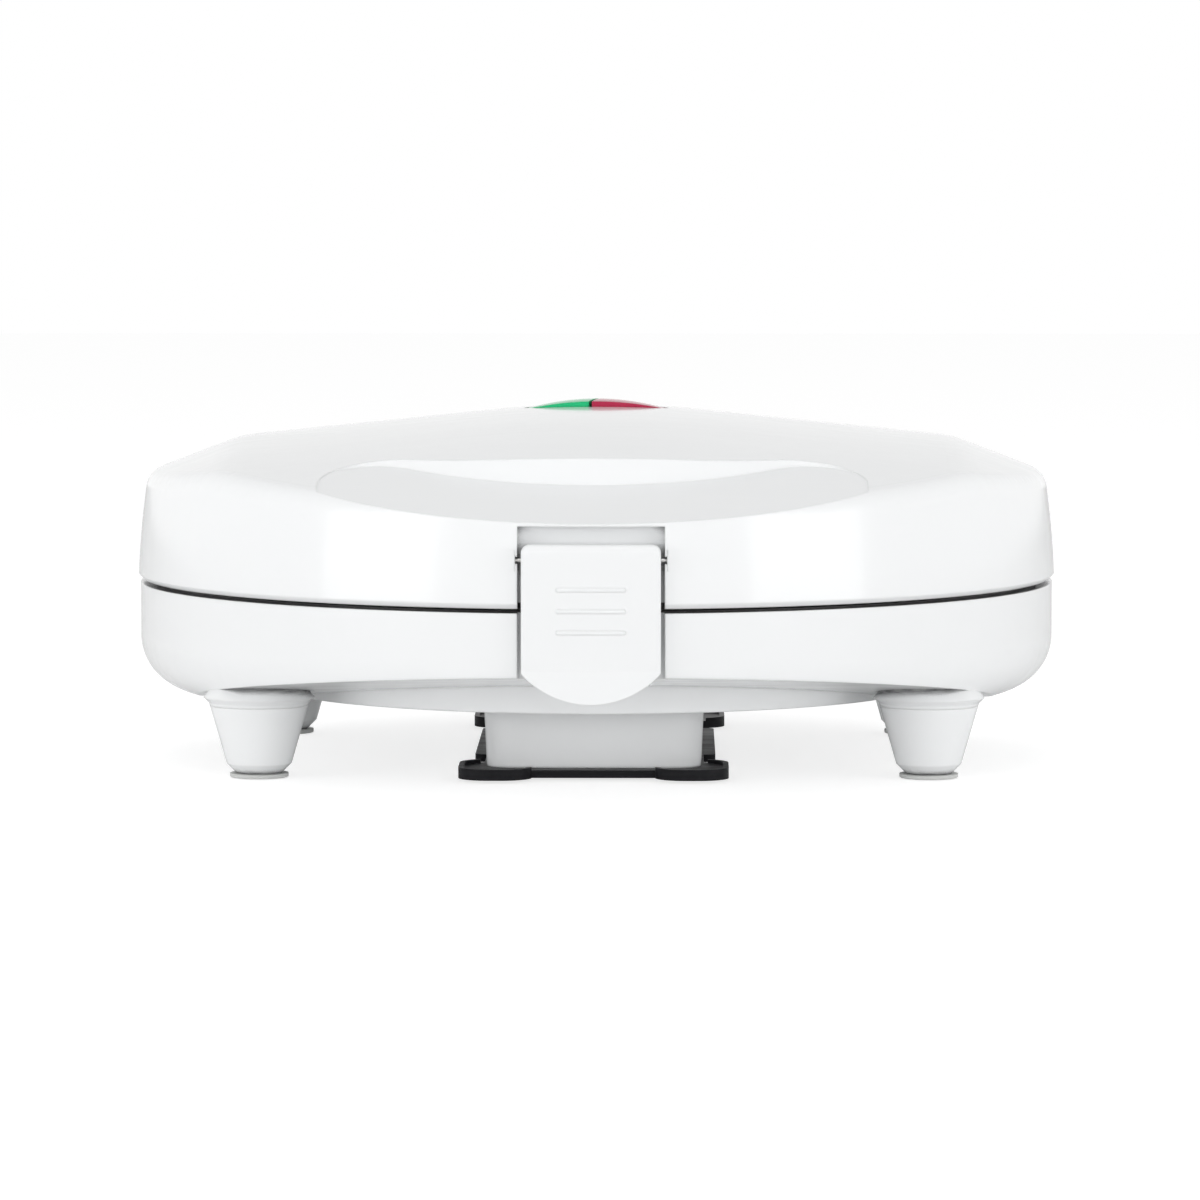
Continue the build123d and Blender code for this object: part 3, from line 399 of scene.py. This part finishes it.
# %% Dark plastic and rubber finishes
make_finish(
    "black_plastic", main=(0.012, 0.012, 0.014), second=(0.026, 0.026, 0.028), drift=0.6,
    drift_scale=40.0, clean=0.36, spread=0.14, smear_scale=60.0, grain_scale=2600.0,
    wave_scale=80.0, wave_share=0.3, grain_depth=0.03, edge_radius=0.4,
    edge_color=(0.05, 0.05, 0.053), edge_wear=0.4, specular=0.08,
)
make_finish(
    "foot_rubber", main=(0.66, 0.67, 0.66), second=(0.45, 0.45, 0.43), drift=0.5,
    drift_scale=90.0, clean=0.62, spread=0.15, smear_scale=120.0, grain_scale=2400.0,
    wave_scale=200.0, wave_share=0.3, grain_depth=0.05, edge_radius=0.3,
    edge_color=(0.40, 0.40, 0.39), edge_wear=0.7, specular=0.35,
)
make_finish(
    "inlet_rubber", main=(0.74, 0.75, 0.75), second=(0.62, 0.62, 0.61), drift=0.4,
    drift_scale=120.0, clean=0.48, spread=0.12, smear_scale=150.0, grain_scale=2600.0,
    wave_scale=150.0, wave_share=0.4, grain_depth=0.04, edge_radius=0.3,
    edge_color=(0.80, 0.80, 0.79), edge_wear=0.4,
)
print("finishes:", sorted(finishes))

# %% [markdown]
# ## Non-stick plates
# The plates are cast metal under a sprayed black coating. The coating has an orange-peel, and
# it carries fine mineral flakes that sparkle grey. On the ridges and the rim, where bread and
# knives rub, it thins to the metal below. The flakes are cells of a Voronoi pattern: a random
# value per cell picks a few of them out, which looks far more like spray than noise does.

# %% Plate finish with flakes
FLAKE_CELLS = 2400.0    # per metre
FLAKE_SHARE = 0.04

plate_finish = make_finish(
    "nonstick_plate", main=(0.016, 0.016, 0.018), second=(0.034, 0.033, 0.034), drift=0.6,
    drift_scale=28.0, clean=0.30, spread=0.16, smear_scale=30.0, grain_scale=1500.0,
    wave_scale=300.0, wave_share=0.55, grain_depth=0.05, edge_radius=0.7,
    edge_color=(0.20, 0.19, 0.18), edge_wear=1.1, coat=0.15, coat_roughness=0.2,
)
plate_tree = plate_finish["tree"]
flake_place = add_node(plate_tree, "ShaderNodeTexCoord")
flakes = add_node(plate_tree, "ShaderNodeTexVoronoi", Scale=FLAKE_CELLS)
flake_choice = add_node(plate_tree, "ShaderNodeSeparateColor")
flake_mask = add_node(plate_tree, "ShaderNodeMath", operation="GREATER_THAN")
flake_mask.inputs[1].default_value = 1.0 - FLAKE_SHARE
flake_color = add_node(plate_tree, "ShaderNodeMix", data_type="RGBA")
flake_color.inputs[7].default_value = (0.07, 0.07, 0.073, 1.0)
join(plate_tree, (flake_place, "Object"), (flakes, "Vector"))
join(plate_tree, (flakes, "Color"), (flake_choice, 0))
join(plate_tree, (flake_choice, 0), (flake_mask, 0))
join(plate_tree, (flake_mask, 0), (flake_color, 0))
join(plate_tree, plate_finish["color"], (flake_color, 6))
join(plate_tree, (flake_color, 2), (plate_finish["shader"], "Base Color"))
print("flakes: one cell in", round(1 / FLAKE_SHARE))

# %% [markdown]
# ## Metals inside
# The heating tube has been red-hot many times, so its steel is dull and tinted from straw to
# blue. Screws, pins and straps are zinc plated and passivated, with a faint warm drift. The
# reflector is bright rolled sheet, and rolling leaves fine lines along one direction, which a
# stretched noise gives. All three use the shared recipe, and only the reflector adds nodes.

# %% Metal finishes
make_finish(
    "element_steel", main=(0.30, 0.27, 0.24), second=(0.16, 0.17, 0.24), drift=1.0,
    drift_scale=35.0, clean=0.38, spread=0.2, smear_scale=60.0, grain_scale=2000.0,
    wave_share=0.2, grain_depth=0.03, metallic=1.0, edge_radius=0.2,
)
make_finish(
    "zinc_steel", main=(0.62, 0.63, 0.65), second=(0.56, 0.53, 0.44), drift=0.6,
    drift_scale=160.0, clean=0.26, spread=0.16, smear_scale=200.0, grain_scale=2600.0,
    wave_share=0.3, grain_depth=0.015, metallic=1.0, edge_radius=0.15,
    edge_color=(0.78, 0.78, 0.79), edge_wear=0.8,
)
reflector = make_finish(
    "reflector_sheet", main=(0.78, 0.78, 0.79), second=(0.66, 0.66, 0.68), drift=0.5,
    drift_scale=25.0, clean=0.16, spread=0.12, grain_scale=1200.0, wave_share=0.5,
    grain_depth=0.02, metallic=1.0, edge_radius=0.2, edge_color=(0.86, 0.86, 0.87), edge_wear=0.5,
)
rolling_place = add_node(reflector["tree"], "ShaderNodeTexCoord")
rolling_stretch = add_node(reflector["tree"], "ShaderNodeMapping")
rolling_stretch.inputs["Scale"].default_value = (6.0, 1400.0, 6.0)
rolling_lines = add_node(reflector["tree"], "ShaderNodeTexNoise", Scale=1.0, Detail=2.0)
join(reflector["tree"], (rolling_place, "Object"), (rolling_stretch, "Vector"))
join(reflector["tree"], (rolling_stretch, 0), (rolling_lines, "Vector"))
join(reflector["tree"], (rolling_lines, 0), (reflector["bump"], "Height"))
print("finishes:", sorted(finishes))

# %% [markdown]
# ## Ceramic, thermostat and terminal plastics
# Small electrical parts use dull, honest materials: unglazed ceramic with pores, a dark
# thermosetting case with a mottled flow, and natural uncoloured plastic for holders and blocks.

# %% Electrical finishes
make_finish(
    "ceramic_bead", main=(0.76, 0.73, 0.65), second=(0.60, 0.55, 0.47), drift=0.6,
    drift_scale=260.0, clean=0.62, spread=0.12, grain_scale=2200.0, wave_scale=500.0,
    wave_share=0.4, grain_depth=0.06, edge_radius=0.3, edge_color=(0.80, 0.78, 0.72), edge_wear=0.5,
)
make_finish(
    "thermostat_case", main=(0.050, 0.036, 0.030), second=(0.028, 0.022, 0.020), drift=1.0,
    drift_scale=220.0, clean=0.36, spread=0.14, grain_scale=1800.0, grain_depth=0.02,
    edge_radius=0.25, edge_color=(0.11, 0.09, 0.08), edge_wear=0.6,
)
make_finish(
    "block_plastic", main=(0.72, 0.70, 0.63), second=(0.64, 0.61, 0.53), drift=0.5,
    drift_scale=60.0, clean=0.34, spread=0.12, grain_scale=1600.0, grain_depth=0.02,
    edge_radius=0.3, edge_color=(0.80, 0.78, 0.72), edge_wear=0.4,
)
print("finishes:", sorted(finishes))

# %% [markdown]
# ## Indicator lenses
# The two halves of the window are clear plastic tinted in the mass. Seen edge-on, such a lens
# is nearly opaque and very saturated, with a bright polished skin. Part of the light goes
# through, so the shader keeps a share of transmission, and shallow prisms moulded under the
# skin spread the lamp behind it. The prisms are a wave pattern in the bump.

# %% Lens finishes
def make_lens(slot, main, second):
    """Tinted polished plastic with fine prisms along X."""
    lens = make_finish(
        slot, main=main, second=second, drift=0.5, drift_scale=60.0, clean=0.07, spread=0.06,
        smear_scale=60.0, grain_depth=0.02, edge_radius=0.25, coat=0.03, coat_roughness=0.03,
        specular=0.05,
    )
    lens["shader"].inputs["Transmission Weight"].default_value = 0.15
    lens["shader"].inputs["IOR"].default_value = 1.49
    lens_place = add_node(lens["tree"], "ShaderNodeTexCoord")
    prisms = add_node(lens["tree"], "ShaderNodeTexWave", Scale=320.0, wave_profile="TRI",
                      bands_direction="X")
    join(lens["tree"], (lens_place, "Object"), (prisms, "Vector"))
    join(lens["tree"], (prisms, "Fac"), (lens["bump"], "Height"))
    return lens


make_lens("green_lens", main=(0.030, 0.62, 0.25), second=(0.015, 0.44, 0.17))
make_lens("red_lens", main=(0.55, 0.040, 0.100), second=(0.42, 0.020, 0.060))
print("lens finishes ready")

# %% [markdown]
# ## Lamp glass
# The neon lamps are small bulbs of real glass. Glass keeps plain metallic and transmission
# values, and its only detail is the slight waviness of a bulb sealed by hand, plus a faint
# warm deposit inside. So it has its own short network rather than the shared recipe.

# %% Glass finish
lamp_glass = bpy.data.materials.new("lamp_glass")
lamp_glass.use_nodes = True
glass_tree = lamp_glass.node_tree
glass_shader = glass_tree.nodes["Principled BSDF"]
glass_shader.inputs["Transmission Weight"].default_value = 1.0
glass_shader.inputs["IOR"].default_value = 1.47
glass_tone = place_group(glass_tree, tone_drift, Main_Color=(1.0, 0.93, 0.86, 1.0),
                         Second_Color=(0.90, 0.66, 0.48, 1.0), Drift=0.4, Scale=180.0)
glass_gloss = place_group(glass_tree, handled_gloss, Clean=0.02, Spread=0.05, Scale=200.0)
glass_waves = place_group(glass_tree, moulded_grain, Grain_Scale=600.0, Wave_Scale=200.0)
glass_bump = add_node(glass_tree, "ShaderNodeBump", Strength=1.0, Distance=0.04 * MM)
join(glass_tree, (glass_tone, "Color"), (glass_shader, "Base Color"))
join(glass_tree, (glass_gloss, "Roughness"), (glass_shader, "Roughness"))
join(glass_tree, (glass_waves, "Height"), (glass_bump, "Height"))
join(glass_tree, (glass_bump, 0), (glass_shader, "Normal"))
finishes["lamp_glass"] = {"material": lamp_glass}
print("finishes:", len(finishes))

# %% [markdown]
# ## Dress the solids
# Each node of the frame names its material slot in the record. Walking that list, instead of
# typing the nodes again, means that no piece can be forgotten.

# %% Assign the finishes
for subpart in frame["record"]["subparts"]:
    node = frame["nodes"][subpart["node"]]
    node.data.materials.clear()
    node.data.materials.append(finishes[subpart["material_slot"]]["material"])

# %% [markdown]
# ## Fasteners
# The solid model leaves screws as plain pegs. Real ones have a cross recess, a countersunk
# head and a thread. A lathe profile gives the head and the thread as rings, and a cross-shaped
# cutter takes out the recess. The recess tapers, as the driver's tip does. The new screws stand
# exactly where the pegs do, because their levels and centres come from the pegs' own boxes.

# %% Screw helper
SCREW_SIDES = 32
THREAD_PITCH = 1.1 * MM
THREAD_DEPTH = 0.22 * MM
SCREW_TIP_SHARE = 0.35       # tip radius, of the shank's
HEAD_RIM = 0.15 * MM
RECESS_ABOVE_HEAD = 0.1 * MM
RECESS_TOP = (0.58, 0.20)    # reach and width of a slot, of the head's radius
RECESS_BOTTOM = (0.22, 0.12)


def piece_from(mesh, name):
    """Turns a finished bmesh into a linked object."""
    data = bpy.data.meshes.new(name)
    mesh.to_mesh(data)
    mesh.free()
    piece = bpy.data.objects.new(name, data)
    bpy.context.scene.collection.objects.link(piece)
    return piece


def lathe(mesh, profile, place):
    """Turns a profile of (radius, height) round the place's Z axis and adds it to the mesh."""
    rings = []
    for radius, height in profile:
        ring = []
        for step in range(SCREW_SIDES):
            angle = 2 * pi * step / SCREW_SIDES
            corner = Vector((radius * cos(angle), radius * sin(angle), height))
            ring.append(mesh.verts.new(place @ corner))
        rings.append(ring)
    for lower, upper in zip(rings, rings[1:]):
        for step in range(SCREW_SIDES):
            after = (step + 1) % SCREW_SIDES
            mesh.faces.new((lower[step], lower[after], upper[after], upper[step]))
    mesh.faces.new(list(reversed(rings[0])))
    mesh.faces.new(rings[-1])


def screw_profile(head_radius, shank_radius, length):
    """Half section of a countersunk screw that points down from its head at zero."""
    cone = head_radius - shank_radius
    profile = [
        (shank_radius * SCREW_TIP_SHARE, -length),
        (shank_radius - THREAD_DEPTH, -length + cone / 2),
    ]
    height = -length + cone / 2 + THREAD_PITCH / 2
    while height < -cone - THREAD_PITCH:
        profile.append((shank_radius, height))
        profile.append((shank_radius - THREAD_DEPTH, height + THREAD_PITCH / 2))
        height += THREAD_PITCH
    return profile + [(shank_radius, -cone), (head_radius, -HEAD_RIM), (head_radius, 0.0)]


def recess_cutter(name, places, head_radius, depth):
    """Tapered crosses that stand in the screws' heads."""
    mesh = bmesh.new()
    for place in places:
        for turn_angle in (0.0, pi / 2):
            turned = place @ Matrix.Rotation(turn_angle, 4, "Z")
            corners = []
            for height, (reach, width) in ((RECESS_ABOVE_HEAD, RECESS_TOP), (-depth, RECESS_BOTTOM)):
                for sx, sy in ((-1, -1), (1, -1), (1, 1), (-1, 1)):
                    corner = Vector((sx * reach * head_radius, sy * width * head_radius / 2, height))
                    corners.append(mesh.verts.new(turned @ corner))
            mesh.faces.new(corners[0:4])
            mesh.faces.new(list(reversed(corners[4:8])))
            for side in range(4):
                after = (side + 1) % 4
                mesh.faces.new((corners[side], corners[side + 4], corners[after + 4], corners[after]))
    bmesh.ops.recalc_face_normals(mesh, faces=mesh.faces)
    return piece_from(mesh, name)


def make_screws(name, places, head_radius, shank_radius, length, recess_depth):
    """One object with a cross-recessed screw at each place."""
    mesh = bmesh.new()
    for place in places:
        lathe(mesh, screw_profile(head_radius, shank_radius, length), place)
    bmesh.ops.recalc_face_normals(mesh, faces=mesh.faces)
    screws = piece_from(mesh, name)
    cutter = recess_cutter(name + "_cutter", places, head_radius, recess_depth)
    cut = screws.modifiers.new("recess", "BOOLEAN")
    cut.operation = "DIFFERENCE"
    cut.solver = "EXACT"
    cut.use_self = True
    cut.object = cutter
    graph = bpy.context.evaluated_depsgraph_get()
    finished = bpy.data.meshes.new_from_object(screws.evaluated_get(graph))
    screws.modifiers.clear()
    screws.data = finished
    bpy.data.objects.remove(cutter)
    return screws


print("screw helper ready")

# %% [markdown]
# The plates' screws sit at the four ends of each plate: two on the long axis and two on the
# short one. Their heads look out of the plate's face, so the lid's screws point up and the
# base's point down. The winder's two screws are turned over, with their heads under the plate.

# %% Place the screws
HEAD_RADIUS = 3.0 * MM
SHANK_RADIUS = 1.6 * MM
WINDER_HEAD_RADIUS = 3.4 * MM
WINDER_SHANK_RADIUS = 1.75 * MM
RECESS_DEPTH = 1.1 * MM
WINDER_RECESS_DEPTH = 1.2 * MM
UPSIDE_DOWN = Matrix.Rotation(pi, 4, "X")


def plate_places(node, heads_up):
    """Where the four screws of a plate stand, head at the origin of each place."""
    low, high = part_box(node)
    level = high.z if heads_up else low.z
    side = high.x - HEAD_RADIUS
    end = high.y - HEAD_RADIUS
    turn = Matrix.Identity(4) if heads_up else UPSIDE_DOWN
    centres = ((side, 0), (-side, 0), (0, end), (0, -end))
    return [Matrix.Translation((x, y, level)) @ turn for x, y in centres]


screw_sets = [("lower_plate_screws", "base", True), ("upper_plate_screws", "lid", False)]
for node, body, heads_up in screw_sets:
    low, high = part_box(node)
    screws = make_screws(node + "_recessed", plate_places(node, heads_up), HEAD_RADIUS, SHANK_RADIUS,
                         high.z - low.z, RECESS_DEPTH)
    screws.data.materials.append(finishes["zinc_steel"]["material"])
    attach(screws, body)
    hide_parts(node)
    print(screws.name, len(screws.data.polygons), "faces")

winder_low, winder_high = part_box("winder_screws")
winder_places = [
    Matrix.Translation((0, y, winder_low.z)) @ UPSIDE_DOWN
    for y in (winder_low.y + WINDER_HEAD_RADIUS, winder_high.y - WINDER_HEAD_RADIUS)
]
winder_screws = make_screws("winder_screws_recessed", winder_places, WINDER_HEAD_RADIUS,
                            WINDER_SHANK_RADIUS, winder_high.z - winder_low.z, WINDER_RECESS_DEPTH)
winder_screws.data.materials.append(finishes["zinc_steel"]["material"])
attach(winder_screws, "base")
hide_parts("winder_screws")
print(winder_screws.name, len(winder_screws.data.polygons), "faces")

# %% [markdown]
# ## The latch's pin
# The latch swings on a turned steel pin. It is thick where the latch's knuckles sit on it and
# steps down to thin ends, which the lid holds. The ends lie so close behind the lid's wall that
# the solid's bore is open to the front. So a thin skin closes the wall over each end: one strip
# in front and one at the notch's side. Its corners come from rays sent at the wall, because it
# must follow the wall's curve, and it stands a few hundredths of a millimetre proud.

# %% Make the pin and the skins over its ends
PIN_END_RADIUS = 0.5 * MM
PIN_CHAMFER = 0.15 * MM
SKIN_PROUD = 0.05 * MM
SKIN_HALF_HEIGHT = 2.5 * MM
SKIN_BEYOND_PIN = 1.2 * MM
SKIN_STEPS = 5
RAY_START = -1.0         # m, well in front of the lid
SIDE_GAP = 0.8 * MM      # between the latch and the notch's side

pin_low, pin_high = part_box("latch_pin")
pin_middle = (pin_low + pin_high) / 2
pin_seat_radius = (pin_high.z - pin_low.z) / 2
latch_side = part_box("latch")[1].x
notch_side = latch_side + SIDE_GAP
pin_profile = [
    (PIN_END_RADIUS - PIN_CHAMFER, pin_low.x),
    (PIN_END_RADIUS, pin_low.x + PIN_CHAMFER),
    (PIN_END_RADIUS, -latch_side),
    (pin_seat_radius, -latch_side),
    (pin_seat_radius, latch_side),
    (PIN_END_RADIUS, latch_side),
    (PIN_END_RADIUS, pin_high.x - PIN_CHAMFER),
    (PIN_END_RADIUS - PIN_CHAMFER, pin_high.x),
]
pin_mesh = bmesh.new()
lathe(pin_mesh, pin_profile, Matrix.Translation(pin_middle) @ Matrix.Rotation(pi / 2, 4, "Y"))
bmesh.ops.recalc_face_normals(pin_mesh, faces=pin_mesh.faces)
turned_pin = piece_from(pin_mesh, "latch_pin_turned")
turned_pin.data.materials.append(finishes["zinc_steel"]["material"])
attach(turned_pin, "lid")
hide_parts("latch_pin")

lid_shell = frame["nodes"]["lid_housing"]
to_lid = lid_shell.matrix_world.inverted()


def wall_point(x, z):
    """The lid's wall in front of a place, from a ray sent straight back."""
    start = to_lid @ Vector((x, RAY_START, z))
    found, place, _, _ = lid_shell.ray_cast(start, to_lid.to_3x3() @ Vector((0, 1, 0)))
    assert found, "the ray missed the lid"
    return lid_shell.matrix_world @ place - Vector((0, SKIN_PROUD, 0))


skin_mesh = bmesh.new()
for side in (-1, 1):
    columns = []
    inner = notch_side - SKIN_PROUD
    outer = pin_high.x + SKIN_BEYOND_PIN
    for step in range(SKIN_STEPS + 1):
        x = inner + (outer - inner) * step / SKIN_STEPS
        probe_x = max(x, notch_side + SKIN_PROUD)
        points = [wall_point(side * probe_x, pin_middle.z + up * SKIN_HALF_HEIGHT) for up in (-1, 1)]
        columns.append([skin_mesh.verts.new((side * x, point.y, point.z)) for point in points])
    behind = [
        skin_mesh.verts.new((side * inner, pin_middle.y + pin_seat_radius, corner.co.z))
        for corner in columns[0]
    ]
    for near, far in zip([behind] + columns, columns):
        corners = (near[0], far[0], far[1], near[1])
        skin_mesh.faces.new(corners if side > 0 else tuple(reversed(corners)))
pin_skins = piece_from(skin_mesh, "pin_end_skins")
pin_skins.data.materials.append(finishes["white_plastic"]["material"])
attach(pin_skins, "lid")
print("skin faces:", len(pin_skins.data.polygons))

# %% [markdown]
# ## Electrodes in the neon lamps
# A neon lamp is a small glass tube with two parallel wires. The solid model has the tube only,
# so two pairs of wires go inside, held clear of the glass. They are curves with a round bevel,
# because a bent wire is a line with a thickness and nothing else.

# %% Make the electrodes
WIRE_RADIUS = 0.3 * MM
WIRE_SPREAD = 0.8 * MM
LAMP_TUBE_LENGTH = 11.0 * MM
WIRE_STATIONS = (-0.40, -0.15, 0.10, 0.32)   # along the tube, of its length
WIRE_FOOT_SPREAD = 1.5                       # the wires part where they leave the tube
WIRE_FOOT = -0.3

lamp_low, lamp_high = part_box("neon_lamps")
lamp_level = (lamp_low.z + lamp_high.z) / 2
lamp_middle = lamp_high.x - LAMP_TUBE_LENGTH / 2
wire_curve = bpy.data.curves.new("neon_electrodes", "CURVE")
wire_curve.dimensions = "3D"
wire_curve.bevel_depth = WIRE_RADIUS
wire_curve.bevel_resolution = 3
wire_curve.use_fill_caps = True
for side in (-1, 1):
    for wire_side in (-1, 1):
        wire = wire_curve.splines.new("NURBS")
        wire.points.add(3)
        for point, along in zip(wire.points, WIRE_STATIONS):
            bow = wire_side * WIRE_SPREAD * (1.0 if along > WIRE_FOOT else WIRE_FOOT_SPREAD)
            point.co = (side * lamp_middle + along * LAMP_TUBE_LENGTH, bow, lamp_level, 1.0)
        wire.order_u = 3
        wire.use_endpoint_u = True
electrodes = bpy.data.objects.new("neon_electrodes", wire_curve)
bpy.context.scene.collection.objects.link(electrodes)
electrodes.data.materials.append(finishes["zinc_steel"]["material"])
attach(electrodes, "lid")
print("electrodes:", len(wire_curve.splines))

# %% [markdown]
# ## The white floor
# The picture has no horizon: floor and backdrop are one white, and only a faint shadow shows
# where the legs stand. A floor lit up to pure white would need so much light that the appliance
# itself would clip. So the floor is an ordinary white surface for every ray that carries light,
# and the camera sees it with some of its own white added. The shadow stays, only softer. Seen
# from below the floor is clear, so that the underside of the appliance can be looked at.

# %% Make the floor
WHITE = (1.0, 1.0, 1.0, 1.0)
FLOOR_SIZE = 6.0
FLOOR_BELOW_PADS = 0.2 * MM
FLOOR_ALBEDO = 0.94
FLOOR_LIT_SHARE = 0.45
FLOOR_OWN_WHITE = 0.74

floor_mesh = bpy.data.meshes.new("studio_floor")
half_floor = FLOOR_SIZE / 2
floor_mesh.from_pydata(
    [(-half_floor, -half_floor, 0), (half_floor, -half_floor, 0), (half_floor, half_floor, 0),
     (-half_floor, half_floor, 0)],
    [],
    [(0, 1, 2, 3)],
)
floor = bpy.data.objects.new("studio_floor", floor_mesh)
floor.location.z = -FLOOR_BELOW_PADS
bpy.context.scene.collection.objects.link(floor)

floor_material = bpy.data.materials.new("studio_white")
floor_material.use_nodes = True
floor_tree = floor_material.node_tree
floor_tree.nodes.clear()
floor_out = add_node(floor_tree, "ShaderNodeOutputMaterial")
seen_floor = add_node(floor_tree, "ShaderNodeBsdfDiffuse", Color=(FLOOR_LIT_SHARE,) * 3 + (1.0,))
own_white = add_node(floor_tree, "ShaderNodeEmission", Color=WHITE, Strength=FLOOR_OWN_WHITE)
camera_floor = add_node(floor_tree, "ShaderNodeAddShader")
light_floor = add_node(floor_tree, "ShaderNodeBsdfDiffuse", Color=(FLOOR_ALBEDO,) * 3 + (1.0,))
which_ray = add_node(floor_tree, "ShaderNodeLightPath")
ray_choice = add_node(floor_tree, "ShaderNodeMixShader")
clear_floor = add_node(floor_tree, "ShaderNodeBsdfTransparent")
which_side = add_node(floor_tree, "ShaderNodeNewGeometry")
side_choice = add_node(floor_tree, "ShaderNodeMixShader")
join(floor_tree, (seen_floor, 0), (camera_floor, 0))
join(floor_tree, (own_white, 0), (camera_floor, 1))
join(floor_tree, (which_ray, "Is Camera Ray"), (ray_choice, 0))
join(floor_tree, (light_floor, 0), (ray_choice, 1))
join(floor_tree, (camera_floor, 0), (ray_choice, 2))
join(floor_tree, (which_side, "Backfacing"), (side_choice, 0))
join(floor_tree, (ray_choice, 0), (side_choice, 1))
join(floor_tree, (clear_floor, 0), (side_choice, 2))
join(floor_tree, (side_choice, 0), (floor_out, "Surface"))
floor.data.materials.append(floor_material)
print("floor, m:", FLOOR_SIZE)

# %% [markdown]
# ## The white surroundings
# The world is the backdrop and the soft fill in one. The camera, mirror-like reflections and
# light through glass see it at full white. Diffuse light takes a strength of its own: low at the
# zenith, so that the crown keeps its shading, and higher towards the horizon, because a studio
# with white walls lights an object mostly from the sides. A power of the height sets how narrow
# the bright band at the horizon is.

# %% Make the world
ZENITH_FILL = 0.42
HORIZON_FILL = 3.50
HORIZON_FOCUS = 6.0

world = bpy.data.worlds.new("studio_world")
bpy.context.scene.world = world
world.use_nodes = True
world_tree = world.node_tree
world_tree.nodes.clear()
world_out = add_node(world_tree, "ShaderNodeOutputWorld")
seen_world = add_node(world_tree, "ShaderNodeBackground", Color=WHITE, Strength=1.0)
fill_world = add_node(world_tree, "ShaderNodeBackground", Color=WHITE)
sky_direction = add_node(world_tree, "ShaderNodeTexCoord")
sky_height = add_node(world_tree, "ShaderNodeSeparateXYZ")
sky_slope = add_node(world_tree, "ShaderNodeMath", operation="ABSOLUTE")
low_share = add_node(world_tree, "ShaderNodeMath", operation="SUBTRACT")
low_share.inputs[0].default_value = 1.0
low_band = add_node(world_tree, "ShaderNodeMath", operation="POWER")
low_band.inputs[1].default_value = HORIZON_FOCUS
fill_strength = add_node(world_tree, "ShaderNodeMath", operation="MULTIPLY_ADD")
fill_strength.inputs[1].default_value = HORIZON_FILL - ZENITH_FILL
fill_strength.inputs[2].default_value = ZENITH_FILL
world_ray = add_node(world_tree, "ShaderNodeLightPath")
mirror_rays = add_node(world_tree, "ShaderNodeMath", operation="MAXIMUM")
white_rays = add_node(world_tree, "ShaderNodeMath", operation="MAXIMUM")
world_choice = add_node(world_tree, "ShaderNodeMixShader")
join(world_tree, (sky_direction, "Generated"), (sky_height, 0))
join(world_tree, (sky_height, "Z"), (sky_slope, 0))
join(world_tree, (sky_slope, 0), (low_share, 1))
join(world_tree, (low_share, 0), (low_band, 0))
join(world_tree, (low_band, 0), (fill_strength, 0))
join(world_tree, (fill_strength, 0), (fill_world, "Strength"))
join(world_tree, (world_ray, "Is Glossy Ray"), (mirror_rays, 0))
join(world_tree, (world_ray, "Is Transmission Ray"), (mirror_rays, 1))
join(world_tree, (world_ray, "Is Camera Ray"), (white_rays, 0))
join(world_tree, (mirror_rays, 0), (white_rays, 1))
join(world_tree, (white_rays, 0), (world_choice, 0))
join(world_tree, (fill_world, 0), (world_choice, 1))
join(world_tree, (seen_world, 0), (world_choice, 2))
join(world_tree, (world_choice, 0), (world_out, 0))
print("world fill, zenith and horizon:", ZENITH_FILL, HORIZON_FILL)

# %% [markdown]
# ## Softboxes
# Three large softboxes shape the body. The first hangs above and a little in front, and gives
# the crown its gentle fall-off and the contact shadows under the legs. The other two stand low
# in front, one to each side, and fill the walls, the latch and the space under the base.

# %% Hang the softboxes
def softbox(name, place, aim, size, watts):
    """A square area light that looks at a point."""
    data = bpy.data.lights.new(name, "AREA")
    data.shape = "SQUARE"
    data.size = size
    data.energy = watts
    lamp = bpy.data.objects.new(name, data)
    lamp.location = place
    lamp.rotation_mode = "QUATERNION"
    lamp.rotation_quaternion = (Vector(aim) - Vector(place)).to_track_quat("-Z", "Y")
    bpy.context.scene.collection.objects.link(lamp)
    return lamp


SOFTBOX_SIZE = 1.2
OVERHEAD_WATTS = 4.2
FRONT_WATTS = 8.5
OVERHEAD_PLACE = (-0.15, -0.25, 1.5)
OVERHEAD_AIM = (0.0, 0.0, 0.05)
LEFT_PLACE = (-1.75, -1.30, 0.40)
RIGHT_PLACE = (1.75, -1.30, 0.40)
SIDE_AIM = (0.0, 0.0, 0.04)
softbox("overhead_softbox", OVERHEAD_PLACE, OVERHEAD_AIM, SOFTBOX_SIZE, OVERHEAD_WATTS)
softbox("left_softbox", LEFT_PLACE, SIDE_AIM, SOFTBOX_SIZE, FRONT_WATTS)
softbox("right_softbox", RIGHT_PLACE, SIDE_AIM, SOFTBOX_SIZE, FRONT_WATTS)
bpy.context.scene.view_settings.view_transform = "Standard"
print("softboxes, W:", OVERHEAD_WATTS, FRONT_WATTS)
